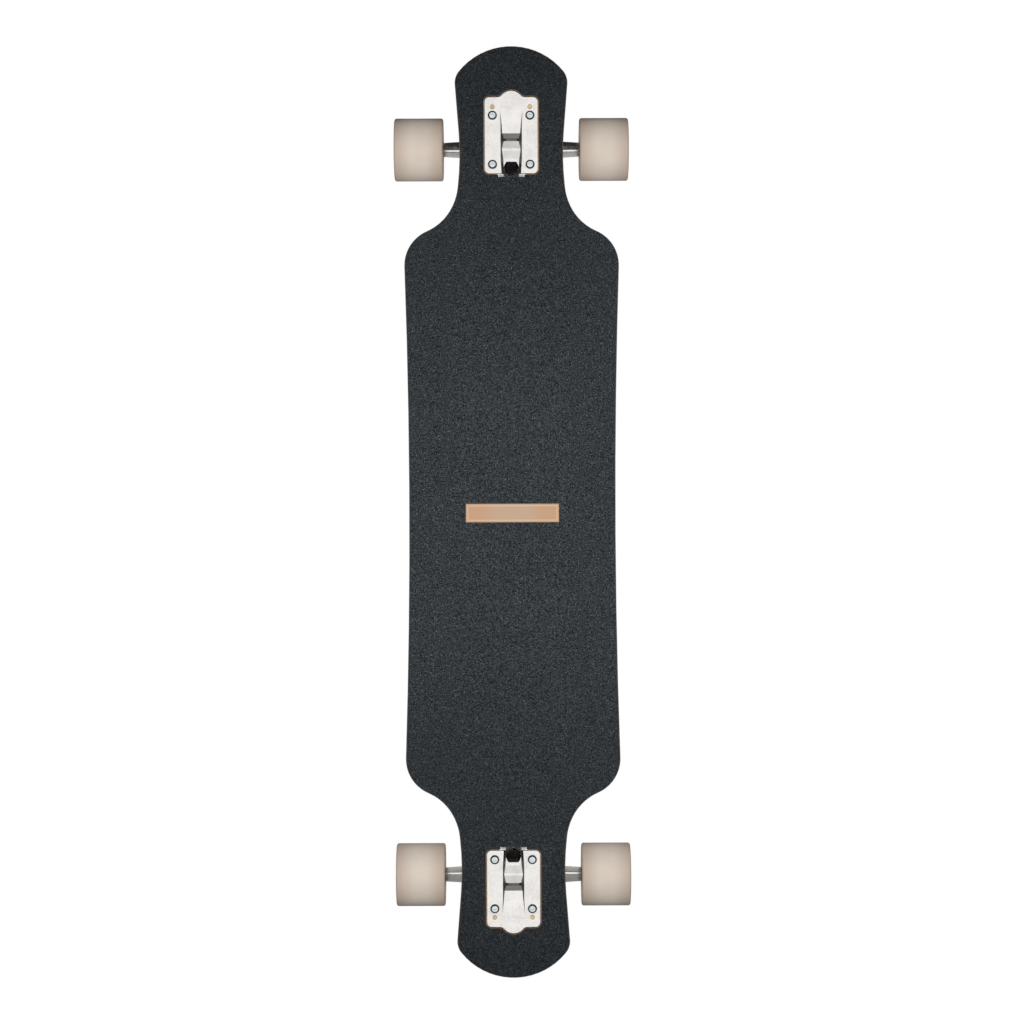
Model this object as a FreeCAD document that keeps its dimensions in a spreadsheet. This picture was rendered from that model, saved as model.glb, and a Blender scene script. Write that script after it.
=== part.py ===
import FreeCAD, Part
import math
import os
from types import SimpleNamespace

import Sketcher

Vector = FreeCAD.Vector
Placement = FreeCAD.Placement
Rotation = FreeCAD.Rotation
Constraint = Sketcher.Constraint

doc = FreeCAD.newDocument("longboard")

# Frame: +Y to the nose, +X to the right, +Z up, origin on the ground under the middle of the deck.
# The front truck and the front right wheel are modelled, the others are half-turn copies of them.

SIZES = [
    ("deck_length", 1026, "tip to tip"),
    ("deck_thickness", 11.5, "laminated blank"),
    ("platform_half_width", 118.3, "widest part of the platform"),
    ("waist_in", 4.6, "middle of the platform, inside its widest"),
    ("shoulder_back", 137.3, "widest place of the platform, inward of the bolt pattern's middle"),
    ("neck_clearance", 19.15, "cutaway to the inside of the wheels"),
    ("neck_back", 15, "narrowest place of the cutaway, inward of the bolt pattern's middle"),
    ("nose_flare", 5.1, "nose past the cutaway, each side"),
    ("tip_flat", 12, "tip's plan radius over the nose's half width"),
    ("nose_corner_radius", 20, "plan radius beside the tip"),
    ("neck_radius", 313, "hollow of the cutaway"),
    ("flare_radius", 58.4, "hollow between cutaway and shoulder"),
    ("shoulder_radius", 41.6, "round of the platform shoulder"),
    ("micro_drop", 8, "platform below the truck ends"),
    ("drop_back", 49.4, "start of the drop, inward of the bolt pattern's middle"),
    ("drop_run", 60, "length of the drop"),
    ("flat_margin", 1, "flat strip past the cutaway, each side"),
    ("rail_rise", 5.5, "concave at the platform shoulder"),
    ("blank_margin", 8, "blank past the trimmed deck"),
    ("edge_round", 3, "round on the top and bottom edges"),
    ("grip_thickness", 0.9, "grip tape"),
    ("grip_inset", 1.2, "bare wood round the grip"),
    ("glue_gap", 0.02, "glue line under the grip"),
    ("inlay_length", 102.6, "strip at the middle, across the deck"),
    ("inlay_width", 20.2, "strip at the middle, along the deck"),
    ("inlay_gap", 0.25, "grip to strip"),
    ("inlay_shift", 1.1, "strip's middle, toward the tail"),
    ("wheel_diameter", 70, "wheel"),
    ("wheel_width", 54.5, "wheel"),
    ("wheel_edge_round", 2.5, "round of the wheel's edges"),
    ("wheel_dish", 9.5, "depth of the hollow in each wheel face"),
    ("wheel_land", 6.2, "flat ring of the wheel's face"),
    ("dish_rise", 5, "middle of the hollow, over the core"),
    ("dish_foot", 1.5, "foot of the hollow, over the core"),
    ("ride_height", 60, "axle to the top of the baseplate"),
    ("truck_from_tip", 103.6, "middle of the bolt pattern, from the tip"),
    ("axle_inset", 3, "axle from the bolt pattern's middle, inward"),
    ("bolt_length_pitch", 53.98, "bolt pattern along the board"),
    ("bolt_width_pitch", 41.28, "bolt pattern across the board"),
    ("spare_hole_shift", 9.52, "spare holes from the outer bolts"),
    ("bolt_shank_radius", 2.38, "mounting bolt"),
    ("bolt_chamfer", 0.5, "bevel at the bolt's end"),
    ("bolt_proud", 2.08, "bolt's end past its nut"),
    ("bolt_head_radius", 5, "pan head"),
    ("bolt_head_height", 2.6, "pan head"),
    ("bolt_head_rim", 0.7, "upright rim of the pan head"),
    ("bolt_head_top", 3.3, "radius of the pan head's top"),
    ("bolt_head_round", 0.5, "round of the pan head's top edge"),
    ("bolt_hole_radius", 2.65, "holes in plate and deck"),
    ("recess_length", 4.6, "cross recess of the bolt"),
    ("recess_width", 1.1, "cross recess of the bolt"),
    ("recess_depth", 1.7, "cross recess of the bolt"),
    ("nut_flats", 9.5, "mounting nut across the flats"),
    ("nut_hex_height", 3.6, "mounting nut"),
    ("nut_collar_radius", 4.1, "locking collar of the mounting nut"),
    ("nut_collar_height", 1.4, "locking collar of the mounting nut"),
    ("plate_side_margin", 8.86, "baseplate past the bolts, each side"),
    ("plate_outer_margin", 20.6, "baseplate past the outer bolts"),
    ("plate_inner_margin", 10.3, "baseplate past the inner bolts"),
    ("plate_corner", 5.5, "corner radius"),
    ("plate_thickness", 5, "flange"),
    ("plate_edge_round", 0.9, "round of the flange's top edge"),
    ("bump_rise", 7, "round bump past the outer edge"),
    ("bump_radius", 14, "round bump"),
    ("bump_fillet", 6, "hollow beside the bump"),
    ("pocket_gap", 0.6, "wood round the plate"),
    ("window_gap", 0.5, "grip back from the pocket"),
    ("slot_gap", 1.8, "deck slot beside the fin"),
    ("slot_half_length", 42, "deck slot for the fin"),
    ("cutter_reach", 60, "cutting shapes run past the piece"),
    ("cutter_over", 1, "cutting shapes over a face or an edge"),
    ("kingpin_lean", 50, "steering axis above the level, in degrees"),
    ("steer_limit", 15, "hanger's turn to each side, in degrees"),
    ("lean_gap", 0.5, "room beside the lower washer at full turn"),
    ("ring_back", 3.5, "hanger ring's centre inward of the bolt pattern's middle"),
    ("ring_drop", 29.6, "hanger ring's centre below the plate"),
    ("head_seat", 32, "kingpin head's seat above the ring's centre"),
    ("head_pocket_radius", 8.8, "room for a socket round the kingpin head"),
    ("bushing_seat", 23, "bushing washer's seat above the ring's centre"),
    ("seat_skirt", 7, "baseplate's skirt round the bushing seat"),
    ("seat_wall", 1.3, "bushing seat past the fin, each side"),
    ("seat_room", 0.6, "room round the boardside bushing"),
    ("kingpin_radius", 4.75, "kingpin"),
    ("kingpin_end", 33, "kingpin's end below the ring's centre"),
    ("kingpin_head_flats", 14, "across the flats"),
    ("kingpin_head_height", 4.6, "head"),
    ("kingpin_crown", 1.2, "crown of the bevel over the head"),
    ("kingpin_nut_flats", 14.3, "across the flats"),
    ("kingpin_nut_collar", 6.6, "radius of the locking collar"),
    ("washer_thickness", 2, "bushing washers"),
    ("washer_radius", 12, "boardside washer"),
    ("road_washer_radius", 11.3, "roadside washer"),
    ("bushing_radius", 12.6, "bushings"),
    ("bushing_bevel", 1.2, "bevel of the bushings at the ring"),
    ("bushing_shoulder", 3, "shoulder of the boardside bushing"),
    ("bushing_taper", 2.8, "taper of the roadside bushing"),
    ("ring_half", 6, "half thickness of the ring between the bushings"),
    ("ring_radius", 17, "outside of the ring"),
    ("ring_lip", 2.4, "rim round each bushing seat"),
    ("ring_play", 2.6, "ring's bore round the kingpin"),
    ("bushing_play", 0.6, "ring's seats round the bushings"),
    ("roadside_height", 12, "roadside bushing"),
    ("nut_height", 8, "kingpin nut"),
    ("pivot_back", 36, "pivot ball's centre behind the ring's centre"),
    ("pivot_radius", 5.5, "pivot nose"),
    ("pivot_play", 0.35, "pivot nose in its cup"),
    ("nose_root", 12, "radius of the nose at the ring"),
    ("nose_taper", 2.7, "nose past the pivot, halfway"),
    ("cup_radius", 9.5, "pivot cup"),
    ("cup_bevel", 0.6, "mouth of the cup"),
    ("cup_rim", 30.4, "cup's open end behind the ring's centre"),
    ("cup_end", 44, "cup's closed end behind the ring's centre"),
    ("cup_wall", 3.4, "hanger's wall round the pivot nose"),
    ("housing_radius", 12, "cup housing"),
    ("housing_end", 47.5, "end of the cup housing"),
    ("housing_room", 0.9, "hanger clear of the cup housing"),
    ("fin_half_width", 13.7, "fin under the plate"),
    ("fin_front", 24, "fin's root, outward of the bolt pattern's middle"),
    ("fin_back", 40.3, "fin's root, inward of the bolt pattern's middle"),
    ("fin_slope", 1.4, "slope of the fin's front"),
    ("fin_heel", 22, "upright back of the fin, below the plate"),
    ("fin_wrap", 1.5, "fin round the cup housing"),
    ("trough_front", 34, "trough's outer end, from the bolt pattern's middle"),
    ("ramp_to", 7.5, "gentle ramp's inner end, outward of the bolt pattern's middle"),
    ("ramp_depth", 2.6, "depth at the ramp's inner end"),
    ("slope_depth", 4.6, "depth at the groove's outer edge"),
    ("groove_from", 2, "groove's outer edge, outward of the bolt pattern's middle"),
    ("groove_to", 0.8, "groove's inner edge, inward of the bolt pattern's middle"),
    ("trough_deep", 7.4, "groove's floor"),
    ("rise_depth", 4.6, "depth at the groove's inner edge"),
    ("bar_from", 9, "flat bar's outer edge, inward of the bolt pattern's middle"),
    ("bar_to", 11.8, "flat bar's inner edge, inward of the bolt pattern's middle"),
    ("trough_shelf", 2.2, "depth at the flat bar"),
    ("shelf_to", 20, "slope before the kingpin head ends, inward of the bolt pattern's middle"),
    ("notch_depth", 3.8, "trough's run out beside the kingpin head"),
    ("trough_half_width", 11.8, "trough's mouth"),
    ("trough_draft", 38, "slope of the trough's walls, in degrees"),
    ("trough_flare", 1, "trough wider at its outer end, each side"),
    ("trough_pinch", 1.4, "trough narrower at its inner end, each side"),
    ("web_half_width", 12, "web between ring and arms"),
    ("web_front", 14.4, "web's edge behind the ring's centre"),
    ("hanger_half", 90.34, "hanger's end face"),
    ("hanger_end_radius", 7.3, "round end of the hanger arm"),
    ("hanger_end_length", 6.3, "round end of the hanger arm"),
    ("arm_half_inner", 9.2, "arm's half width beside the deck"),
    ("arm_half_outer", 7.5, "arm's half width beside the wheel"),
    ("arm_lean", 17, "ridge leans inward from the upright, in degrees"),
    ("arm_ridge", 1.3, "ridge over the arm's round"),
    ("arm_ridge_radius", 2.5, "round of the ridge"),
    ("arm_rise", 4.4, "ridge halfway to the ring"),
    ("arm_peak", 14.3, "ridge beside the ring"),
    ("axle_radius", 3.97, "axle"),
    ("axle_proud", 1.34, "axle's end past its nut"),
    ("axle_bevel", 0.7, "bevel at the axle's end"),
    ("speed_washer", 1, "washers beside the bearings"),
    ("speed_washer_radius", 6, "washers beside the bearings"),
    ("bearing_width", 7, "ball bearing"),
    ("bearing_outer", 11, "ball bearing's outer radius"),
    ("bearing_bore", 4, "ball bearing's bore radius"),
    ("bearing_pitch", 7.5, "radius of the row of balls"),
    ("ball_radius", 1.98, "balls"),
    ("ball_play", 0.07, "groove round the balls"),
    ("race_shoulder", 1.45, "ring's shoulder from the row of balls"),
    ("shield_thickness", 0.4, "bearing shield"),
    ("shield_inset", 0.3, "bearing shield in from the bearing's face"),
    ("shield_play", 0.4, "bearing shield round the inner ring"),
    ("spacer_width", 10, "between the two bearings"),
    ("spacer_wall", 1.9, "bearing spacer"),
    ("core_radius", 17, "hard core of the wheel"),
    ("core_lip", 0.6, "core past the bearings"),
    ("core_hub", 1.8, "core's wall round the bearings"),
    ("core_slope", 2.8, "slope of the core's face"),
    ("core_bore_step", 2.2, "core's bore between the bearings, over the row of balls"),
    ("axle_nut_flats", 12.7, "across the flats"),
    ("axle_nut_height", 6.2, "axle nut"),
    ("slip_fit", 0.02, "pieces that sit face to face"),
    ("rod_fit", 0.03, "pieces on the axle"),
    ("pin_fit", 0.05, "pieces on the kingpin"),
    ("kingpin_bore_fit", 0.15, "kingpin in the baseplate"),
]

sheet = doc.addObject("Spreadsheet::Sheet", "Dims")
for row, (alias, value, note) in enumerate(SIZES, start=1):
    sheet.set(f"A{row}", note)
    sheet.set(f"B{row}", str(value))
    sheet.setAlias(f"B{row}", alias)
doc.recompute()


class Size:
    """A number that keeps the sheet formula it came from."""

    def __init__(self, value, text):
        self.value = value
        self.text = text

    def __add__(self, other):
        other = as_size(other)
        return Size(self.value + other.value, f"({self.text} + {other.text})")

    def __sub__(self, other):
        other = as_size(other)
        return Size(self.value - other.value, f"({self.text} - {other.text})")

    def __mul__(self, other):
        other = as_size(other)
        return Size(self.value * other.value, f"({self.text} * {other.text})")

    def __truediv__(self, other):
        other = as_size(other)
        return Size(self.value / other.value, f"({self.text} / {other.text})")

    def __neg__(self):
        return Size(-self.value, f"(0 - {self.text})")


def as_size(item):
    if isinstance(item, Size):
        return item
    return Size(float(item), f"({float(item)})")


d = SimpleNamespace()
for alias, value, note in SIZES:
    setattr(d, alias, Size(float(sheet.get(alias)), f"Dims.{alias}"))

lean_angle = math.radians(d.kingpin_lean.value)
lean_cos = Size(math.cos(lean_angle), "cos(Dims.kingpin_lean * 1 deg)")
lean_sin = Size(math.sin(lean_angle), "sin(Dims.kingpin_lean * 1 deg)")


def bind(item, prop, size):
    size = as_size(size)
    item.setExpression(prop, size.text)


def place(item, x=0, y=0, z=0, turn=None):
    """Moves an item by formulas; turn is an axis and an angle."""
    x, y, z = as_size(x), as_size(y), as_size(z)
    spin = Rotation()
    if turn:
        spin = Rotation(turn[0], as_size(turn[1]).value)
    item.Placement = Placement(Vector(x.value, y.value, z.value), spin)
    bind(item, "Placement.Base.x", x)
    bind(item, "Placement.Base.y", y)
    bind(item, "Placement.Base.z", z)
    if turn and isinstance(turn[1], Size):
        bind(item, "Placement.Rotation.Angle", turn[1])
    return item


def new_sketch(body, name, role, offset=None):
    sketch = body.newObject("Sketcher::SketchObject", name)
    plane = next(item for item in body.Origin.OriginFeatures if item.Role == role)
    sketch.AttachmentSupport = [(plane, "")]
    sketch.MapMode = "FlatFace"
    if offset is not None:
        offset = as_size(offset)
        sketch.AttachmentOffset = Placement(Vector(0, 0, offset.value), Rotation())
        bind(sketch, "AttachmentOffset.Base.z", offset)
    return sketch


def constrain(sketch, pairs):
    """Adds constraints; a pair with a size is bound to its formula."""
    first = sketch.ConstraintCount
    sketch.addConstraint([constraint for constraint, size in pairs])
    for index, (constraint, size) in enumerate(pairs):
        if size is not None:
            bind(sketch, f"Constraints[{first + index}]", size)


def at_x(geometry, point, size):
    size = as_size(size)
    return Constraint("DistanceX", -1, 1, geometry, point, size.value), size


def at_y(geometry, point, size):
    size = as_size(size)
    return Constraint("DistanceY", -1, 1, geometry, point, size.value), size


def radius_of(geometry, size):
    return Constraint("Radius", geometry, size.value), size


def tangent(first, first_end, second, second_end):
    return Constraint("Tangent", first, first_end, second, second_end), None


def meet(first, first_end, second, second_end):
    return Constraint("Coincident", first, first_end, second, second_end), None


def arc_of(centre, radius, start, end):
    circle = Part.Circle(Vector(centre[0], centre[1], 0), Vector(0, 0, 1), radius)
    return Part.ArcOfCircle(circle, start, end)


def line_of(start, end):
    return Part.LineSegment(Vector(start[0], start[1], 0), Vector(end[0], end[1], 0))


def angle_to(centre, point):
    return math.atan2(point[1] - centre[1], point[0] - centre[0])


def polygon(sketch, points):
    """Closed outline whose corners follow their formulas."""
    points = [(as_size(x), as_size(y)) for x, y in points]
    count = len(points)
    first = sketch.GeometryCount
    spots = [(x.value, y.value) for x, y in points]
    sketch.addGeometry([line_of(spots[i], spots[(i + 1) % count]) for i in range(count)], False)
    pairs = []
    for i, (x, y) in enumerate(points):
        pairs.append(meet(first + (i - 1) % count, 2, first + i, 1))
        pairs.append(at_x(first + i, 1, x))
        pairs.append(at_y(first + i, 1, y))
    constrain(sketch, pairs)
    return sketch


def revolved(name, points, role, axis):
    """A body turned from a closed outline about one of the sketch's axes."""
    body = doc.addObject("PartDesign::Body", name)
    sketch = polygon(new_sketch(body, name + "_outline", role), points)
    turned = body.newObject("PartDesign::Revolution", name + "_turned")
    turned.Profile = sketch
    turned.ReferenceAxis = (sketch, [axis])
    turned.Angle = 360
    return body


def turned_z(name, points):
    """Points are radius and height about the upright axis."""
    return revolved(name, points, "XZ_Plane", "V_Axis")


def turned_x(name, points):
    """Points are place and radius about the cross axis."""
    return revolved(name, points, "XY_Plane", "H_Axis")


def extruded(name, points, role, length, offset=None, both=False):
    body = doc.addObject("PartDesign::Body", name)
    sketch = polygon(new_sketch(body, name + "_outline", role, offset), points)
    pad = body.newObject("PartDesign::Pad", name + "_pad")
    pad.Profile = sketch
    length = as_size(length)
    pad.Length = length.value
    bind(pad, "Length", length)
    if both:
        pad.SideType = "Symmetric"
    return body


def cylinder(name, radius, height):
    item = doc.addObject("Part::Cylinder", name)
    bind(item, "Radius", radius)
    bind(item, "Height", height)
    return item


def hexagon(name, flats, height):
    item = doc.addObject("Part::Prism", name)
    item.Polygon = 6
    bind(item, "Circumradius", flats / math.sqrt(3))
    bind(item, "Height", height)
    return item


def box(name, length, width, height):
    item = doc.addObject("Part::Box", name)
    bind(item, "Length", length)
    bind(item, "Width", width)
    bind(item, "Height", height)
    return item


def fused(name, parts):
    item = doc.addObject("Part::MultiFuse", name)
    item.Shapes = parts
    item.Refine = True
    return item


def cut(name, base, tool):
    item = doc.addObject("Part::Cut", name)
    item.Base = base
    item.Tool = tool
    item.Refine = True
    return item


def common(name, first, second):
    item = doc.addObject("Part::Common", name)
    item.Base = first
    item.Tool = second
    item.Refine = True
    return item


def grouped(name, parts):
    item = doc.addObject("Part::Compound", name)
    item.Links = parts
    return item


def copies(name, piece, places):
    """The same piece at several places, as one group."""
    group = []
    for number, (x, y, z) in enumerate(places, start=1):
        copy = grouped(f"{name}_{number}", [piece])
        group.append(place(copy, x, y, z))
    return grouped(name, group)


def filleted(name, base, radius, wanted):
    """Rounds the edges that the test picks."""
    doc.recompute()
    item = doc.addObject("Part::Fillet", name)
    item.Base = base
    rims = []
    for number, edge in enumerate(base.Shape.Edges, start=1):
        if wanted(edge):
            rims.append((number, radius.value, radius.value))
    item.Edges = rims
    return item


def edges_over(height):
    """Picks the edges that lie wholly over a height."""
    return lambda edge: edge.BoundBox.ZMin > height


HALF_TURN = (Vector(0, 0, 1), 180)
ALONG_X = (Vector(0, 1, 0), 90)

nodes = {}


def keep(name, item):
    item.Label = name
    nodes[name] = item
    return item


# Heights and stations

NONE = Size(0, "0")
axle_z = d.wheel_diameter / 2
plate_top = axle_z + d.ride_height
truck_station = d.deck_length / 2 - d.truck_from_tip
axle_y = truck_station - d.axle_inset
ring_y = truck_station - d.ring_back
ring_z = plate_top - d.ring_drop
deck_top = plate_top - d.grip_thickness - d.glue_gap
platform_grip = plate_top - d.micro_drop - d.grip_thickness
tilted = (Vector(1, 0, 0), d.kingpin_lean)


def on_truck(item, along=0, up=0):
    """Puts an item into the leaning frame of the kingpin: along the steering axis, up the kingpin."""
    along, up = as_size(along), as_size(up)
    y = ring_y + along * lean_cos - up * lean_sin
    z = ring_z + along * lean_sin + up * lean_cos
    return place(item, 0, y, z, tilted)


def on_steering_axis(item, along):
    """Puts an item that stands on its base so that it points up the steering axis."""
    along = as_size(along)
    y = ring_y + along * lean_cos
    z = ring_z + along * lean_sin
    return place(item, 0, y, z, (Vector(-1, 0, 0), Size(90, "90") - d.kingpin_lean))


# Stack on the right-hand end of the axle, from the hanger's end outward

fit = d.slip_fit
washer_1 = d.hanger_half + fit
bearing_1 = washer_1 + d.speed_washer + fit
spacer_1 = bearing_1 + d.bearing_width + fit
bearing_2 = spacer_1 + d.spacer_width + fit
washer_2 = bearing_2 + d.bearing_width + fit
nut_1 = washer_2 + d.speed_washer + fit
axle_half = nut_1 + d.axle_nut_height + d.axle_proud
wheel_centre = (bearing_1 + bearing_2 + d.bearing_width) / 2

neck_half_width = wheel_centre - d.wheel_width / 2 - d.neck_clearance
nose_half_width = neck_half_width + d.nose_flare
flat_half_width = neck_half_width + d.flat_margin
plate_half_width = d.bolt_width_pitch / 2 + d.plate_side_margin
plate_outer = d.bolt_length_pitch / 2 + d.plate_outer_margin
plate_inner = d.bolt_length_pitch / 2 + d.plate_inner_margin

# Deck outline: one quarter, of tangent arcs, from the tip to the waist

def quarter_outline(body, name, inset):
    sketch = new_sketch(body, name, "XY_Plane")
    tip_r = nose_half_width + d.tip_flat - inset
    corner_r = d.nose_corner_radius - inset
    neck_r = d.neck_radius + inset
    flare_r = d.flare_radius + inset
    shoulder_r = d.shoulder_radius - inset
    half = d.deck_length / 2 - inset
    waist = d.platform_half_width - d.waist_in - inset
    corner_x = nose_half_width - d.nose_corner_radius
    neck_x = neck_half_width + d.neck_radius
    neck_y = truck_station - d.neck_back
    shoulder_y = truck_station - d.shoulder_back
    shoulder_x = d.platform_half_width - d.shoulder_radius

    tip = (0, half.value - tip_r.value)
    reach = tip_r.value - corner_r.value
    corner = (corner_x.value, tip[1] + math.sqrt(reach ** 2 - corner_x.value ** 2))
    neck = (neck_x.value, neck_y.value)
    shoulder = (shoulder_x.value, shoulder_y.value)

    span = math.hypot(neck[0] - corner[0], neck[1] - corner[1])
    side = angle_to(corner, neck) + math.acos((corner_r.value + neck_r.value) / span)
    side_top = (corner[0] + corner_r.value * math.cos(side), corner[1] + corner_r.value * math.sin(side))
    side_end = (neck[0] - neck_r.value * math.cos(side), neck[1] - neck_r.value * math.sin(side))

    to_neck = neck_r.value - flare_r.value
    to_shoulder = flare_r.value + shoulder_r.value
    gap = math.hypot(neck[0] - shoulder[0], neck[1] - shoulder[1])
    share = (gap ** 2 + to_shoulder ** 2 - to_neck ** 2) / (2 * gap * to_shoulder)
    turn = angle_to(shoulder, neck) + math.acos(share)
    flare = (shoulder[0] + to_shoulder * math.cos(turn), shoulder[1] + to_shoulder * math.sin(turn))

    step = waist.value - shoulder[0]
    waist_r = (step ** 2 + shoulder[1] ** 2 - shoulder_r.value ** 2) / (2 * (shoulder_r.value - step))
    middle = (waist.value + waist_r, 0)

    tip_end = angle_to(tip, corner)
    neck_start = angle_to(neck, side_end) % (2 * math.pi)
    neck_end = angle_to(neck, flare) % (2 * math.pi)
    flare_end = angle_to(flare, shoulder) % (2 * math.pi)
    waist_turn = angle_to(shoulder, middle)
    sketch.addGeometry([
        arc_of(tip, tip_r.value, tip_end, math.pi / 2),
        arc_of(corner, corner_r.value, side, tip_end),
        line_of(side_top, side_end),
        arc_of(neck, neck_r.value, neck_start, neck_end),
        arc_of(flare, flare_r.value, neck_end, flare_end),
        arc_of(shoulder, shoulder_r.value, waist_turn, turn),
        arc_of(middle, waist_r, math.pi + waist_turn, math.pi),
        line_of((waist.value, 0), (0, 0)),
        line_of((0, 0), (0, half.value)),
    ], False)
    constrain(sketch, [
        tangent(0, 1, 1, 2),
        tangent(1, 1, 2, 1),
        tangent(2, 2, 3, 1),
        tangent(3, 2, 4, 1),
        tangent(4, 2, 5, 2),
        tangent(5, 1, 6, 1),
        meet(6, 2, 7, 1),
        meet(7, 2, -1, 1),
        meet(8, 1, -1, 1),
        meet(8, 2, 0, 2),
        (Constraint("PointOnObject", 0, 3, -2), None),
        (Constraint("PointOnObject", 0, 2, -2), None),
        at_y(0, 2, half),
        radius_of(0, tip_r),
        radius_of(1, corner_r),
        at_x(1, 3, corner_x),
        radius_of(3, neck_r),
        at_x(3, 3, neck_x),
        at_y(3, 3, neck_y),
        radius_of(4, flare_r),
        radius_of(5, shoulder_r),
        at_x(5, 3, shoulder_x),
        at_y(5, 3, shoulder_y),
        (Constraint("PointOnObject", 6, 3, -1), None),
        (Constraint("PointOnObject", 6, 2, -1), None),
        at_x(6, 2, waist),
    ])
    return sketch


def outline_prism(name, inset):
    """The whole plan shape, tall enough to trim the bent blank."""
    body = doc.addObject("PartDesign::Body", name + "_quarter")
    pad = body.newObject("PartDesign::Pad", name + "_quarter_pad")
    pad.Profile = quarter_outline(body, name + "_quarter_outline", inset)
    height = plate_top * 2
    pad.Length = height.value
    bind(pad, "Length", height)
    right = doc.addObject("Part::Mirroring", name + "_right")
    right.Source = body
    right.Normal = Vector(0, 1, 0)
    half = fused(name + "_half", [body, right])
    left = doc.addObject("Part::Mirroring", name + "_left")
    left.Source = half
    left.Normal = Vector(1, 0, 0)
    return fused(name, [half, left])


def bent_blank(name, top, thickness):
    """Sheet with raised rails, swept along the dropped side line."""
    body = doc.addObject("PartDesign::Body", name)
    reach = d.deck_length / 2 + d.blank_margin
    high = top
    low = top - d.micro_drop
    outer = truck_station - d.drop_back
    inner = outer - d.drop_run

    side = new_sketch(body, name + "_side", "YZ_Plane")
    run = outer.value - inner.value
    bend = 2 * math.atan(d.micro_drop.value / run)
    radius = run / (2 * math.sin(bend))
    down, up = -math.pi / 2, math.pi / 2
    side.addGeometry([
        line_of((-reach.value, high.value), (-outer.value, high.value)),
        arc_of((-outer.value, high.value - radius), radius, up - bend, up),
        arc_of((-inner.value, low.value + radius), radius, down - bend, down),
        line_of((-inner.value, low.value), (inner.value, low.value)),
        arc_of((inner.value, low.value + radius), radius, down, down + bend),
        arc_of((outer.value, high.value - radius), radius, up, up + bend),
        line_of((outer.value, high.value), (reach.value, high.value)),
    ], False)
    constrain(side, [
        at_x(0, 1, -reach),
        at_y(0, 1, high),
        at_x(0, 2, -outer),
        at_y(0, 2, high),
        tangent(0, 2, 1, 2),
        tangent(1, 1, 2, 1),
        tangent(2, 2, 3, 1),
        (Constraint("Equal", 1, 2), None),
        at_x(3, 1, -inner),
        at_y(3, 1, low),
        at_x(3, 2, inner),
        at_y(3, 2, low),
        tangent(3, 2, 4, 1),
        tangent(4, 2, 5, 2),
        tangent(5, 1, 6, 1),
        (Constraint("Equal", 4, 5), None),
        at_x(6, 1, outer),
        at_y(6, 1, high),
        at_x(6, 2, reach),
        at_y(6, 2, high),
    ])

    across = new_sketch(body, name + "_across", "XZ_Plane", reach)
    flat = flat_half_width
    edge = d.platform_half_width + d.blank_margin
    rail = d.platform_half_width - flat
    hollow = (rail * rail + d.rail_rise * d.rail_rise) / (d.rail_rise * 2)
    lift = math.asin((edge.value - flat.value) / hollow.value)
    rise = hollow.value * (1 - math.cos(lift))
    under = top - thickness
    across.addGeometry([
        line_of((-flat.value, top.value), (flat.value, top.value)),
        arc_of((flat.value, top.value + hollow.value), hollow.value, down, down + lift),
        line_of((edge.value, top.value + rise), (edge.value, under.value + rise)),
        arc_of((flat.value, under.value + hollow.value), hollow.value, down, down + lift),
        line_of((flat.value, under.value), (-flat.value, under.value)),
        arc_of((-flat.value, under.value + hollow.value), hollow.value, down - lift, down),
        line_of((-edge.value, under.value + rise), (-edge.value, top.value + rise)),
        arc_of((-flat.value, top.value + hollow.value), hollow.value, down - lift, down),
    ], False)
    constrain(across, [
        at_x(0, 1, -flat),
        at_y(0, 1, top),
        at_x(0, 2, flat),
        at_y(0, 2, top),
        tangent(0, 2, 1, 1),
        meet(1, 2, 2, 1),
        meet(2, 2, 3, 2),
        tangent(3, 1, 4, 1),
        at_x(4, 1, flat),
        at_y(4, 1, under),
        at_x(4, 2, -flat),
        at_y(4, 2, under),
        tangent(4, 2, 5, 2),
        meet(5, 1, 6, 1),
        meet(6, 2, 7, 1),
        tangent(7, 2, 0, 1),
        radius_of(1, hollow),
        radius_of(3, hollow),
        radius_of(5, hollow),
        radius_of(7, hollow),
        at_x(2, 1, edge),
        at_x(2, 2, edge),
        at_x(6, 1, -edge),
        at_x(6, 2, -edge),
    ])
    doc.recompute()
    sweep = body.newObject("PartDesign::AdditivePipe", name + "_sweep")
    sweep.Profile = across
    sweep.Spine = (side, [f"Edge{i + 1}" for i in range(7)])
    sweep.Mode = "Fixed"
    sweep.Transition = "Transformed"
    return body


# Baseplate outline, with the round bump at its outer edge

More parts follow.
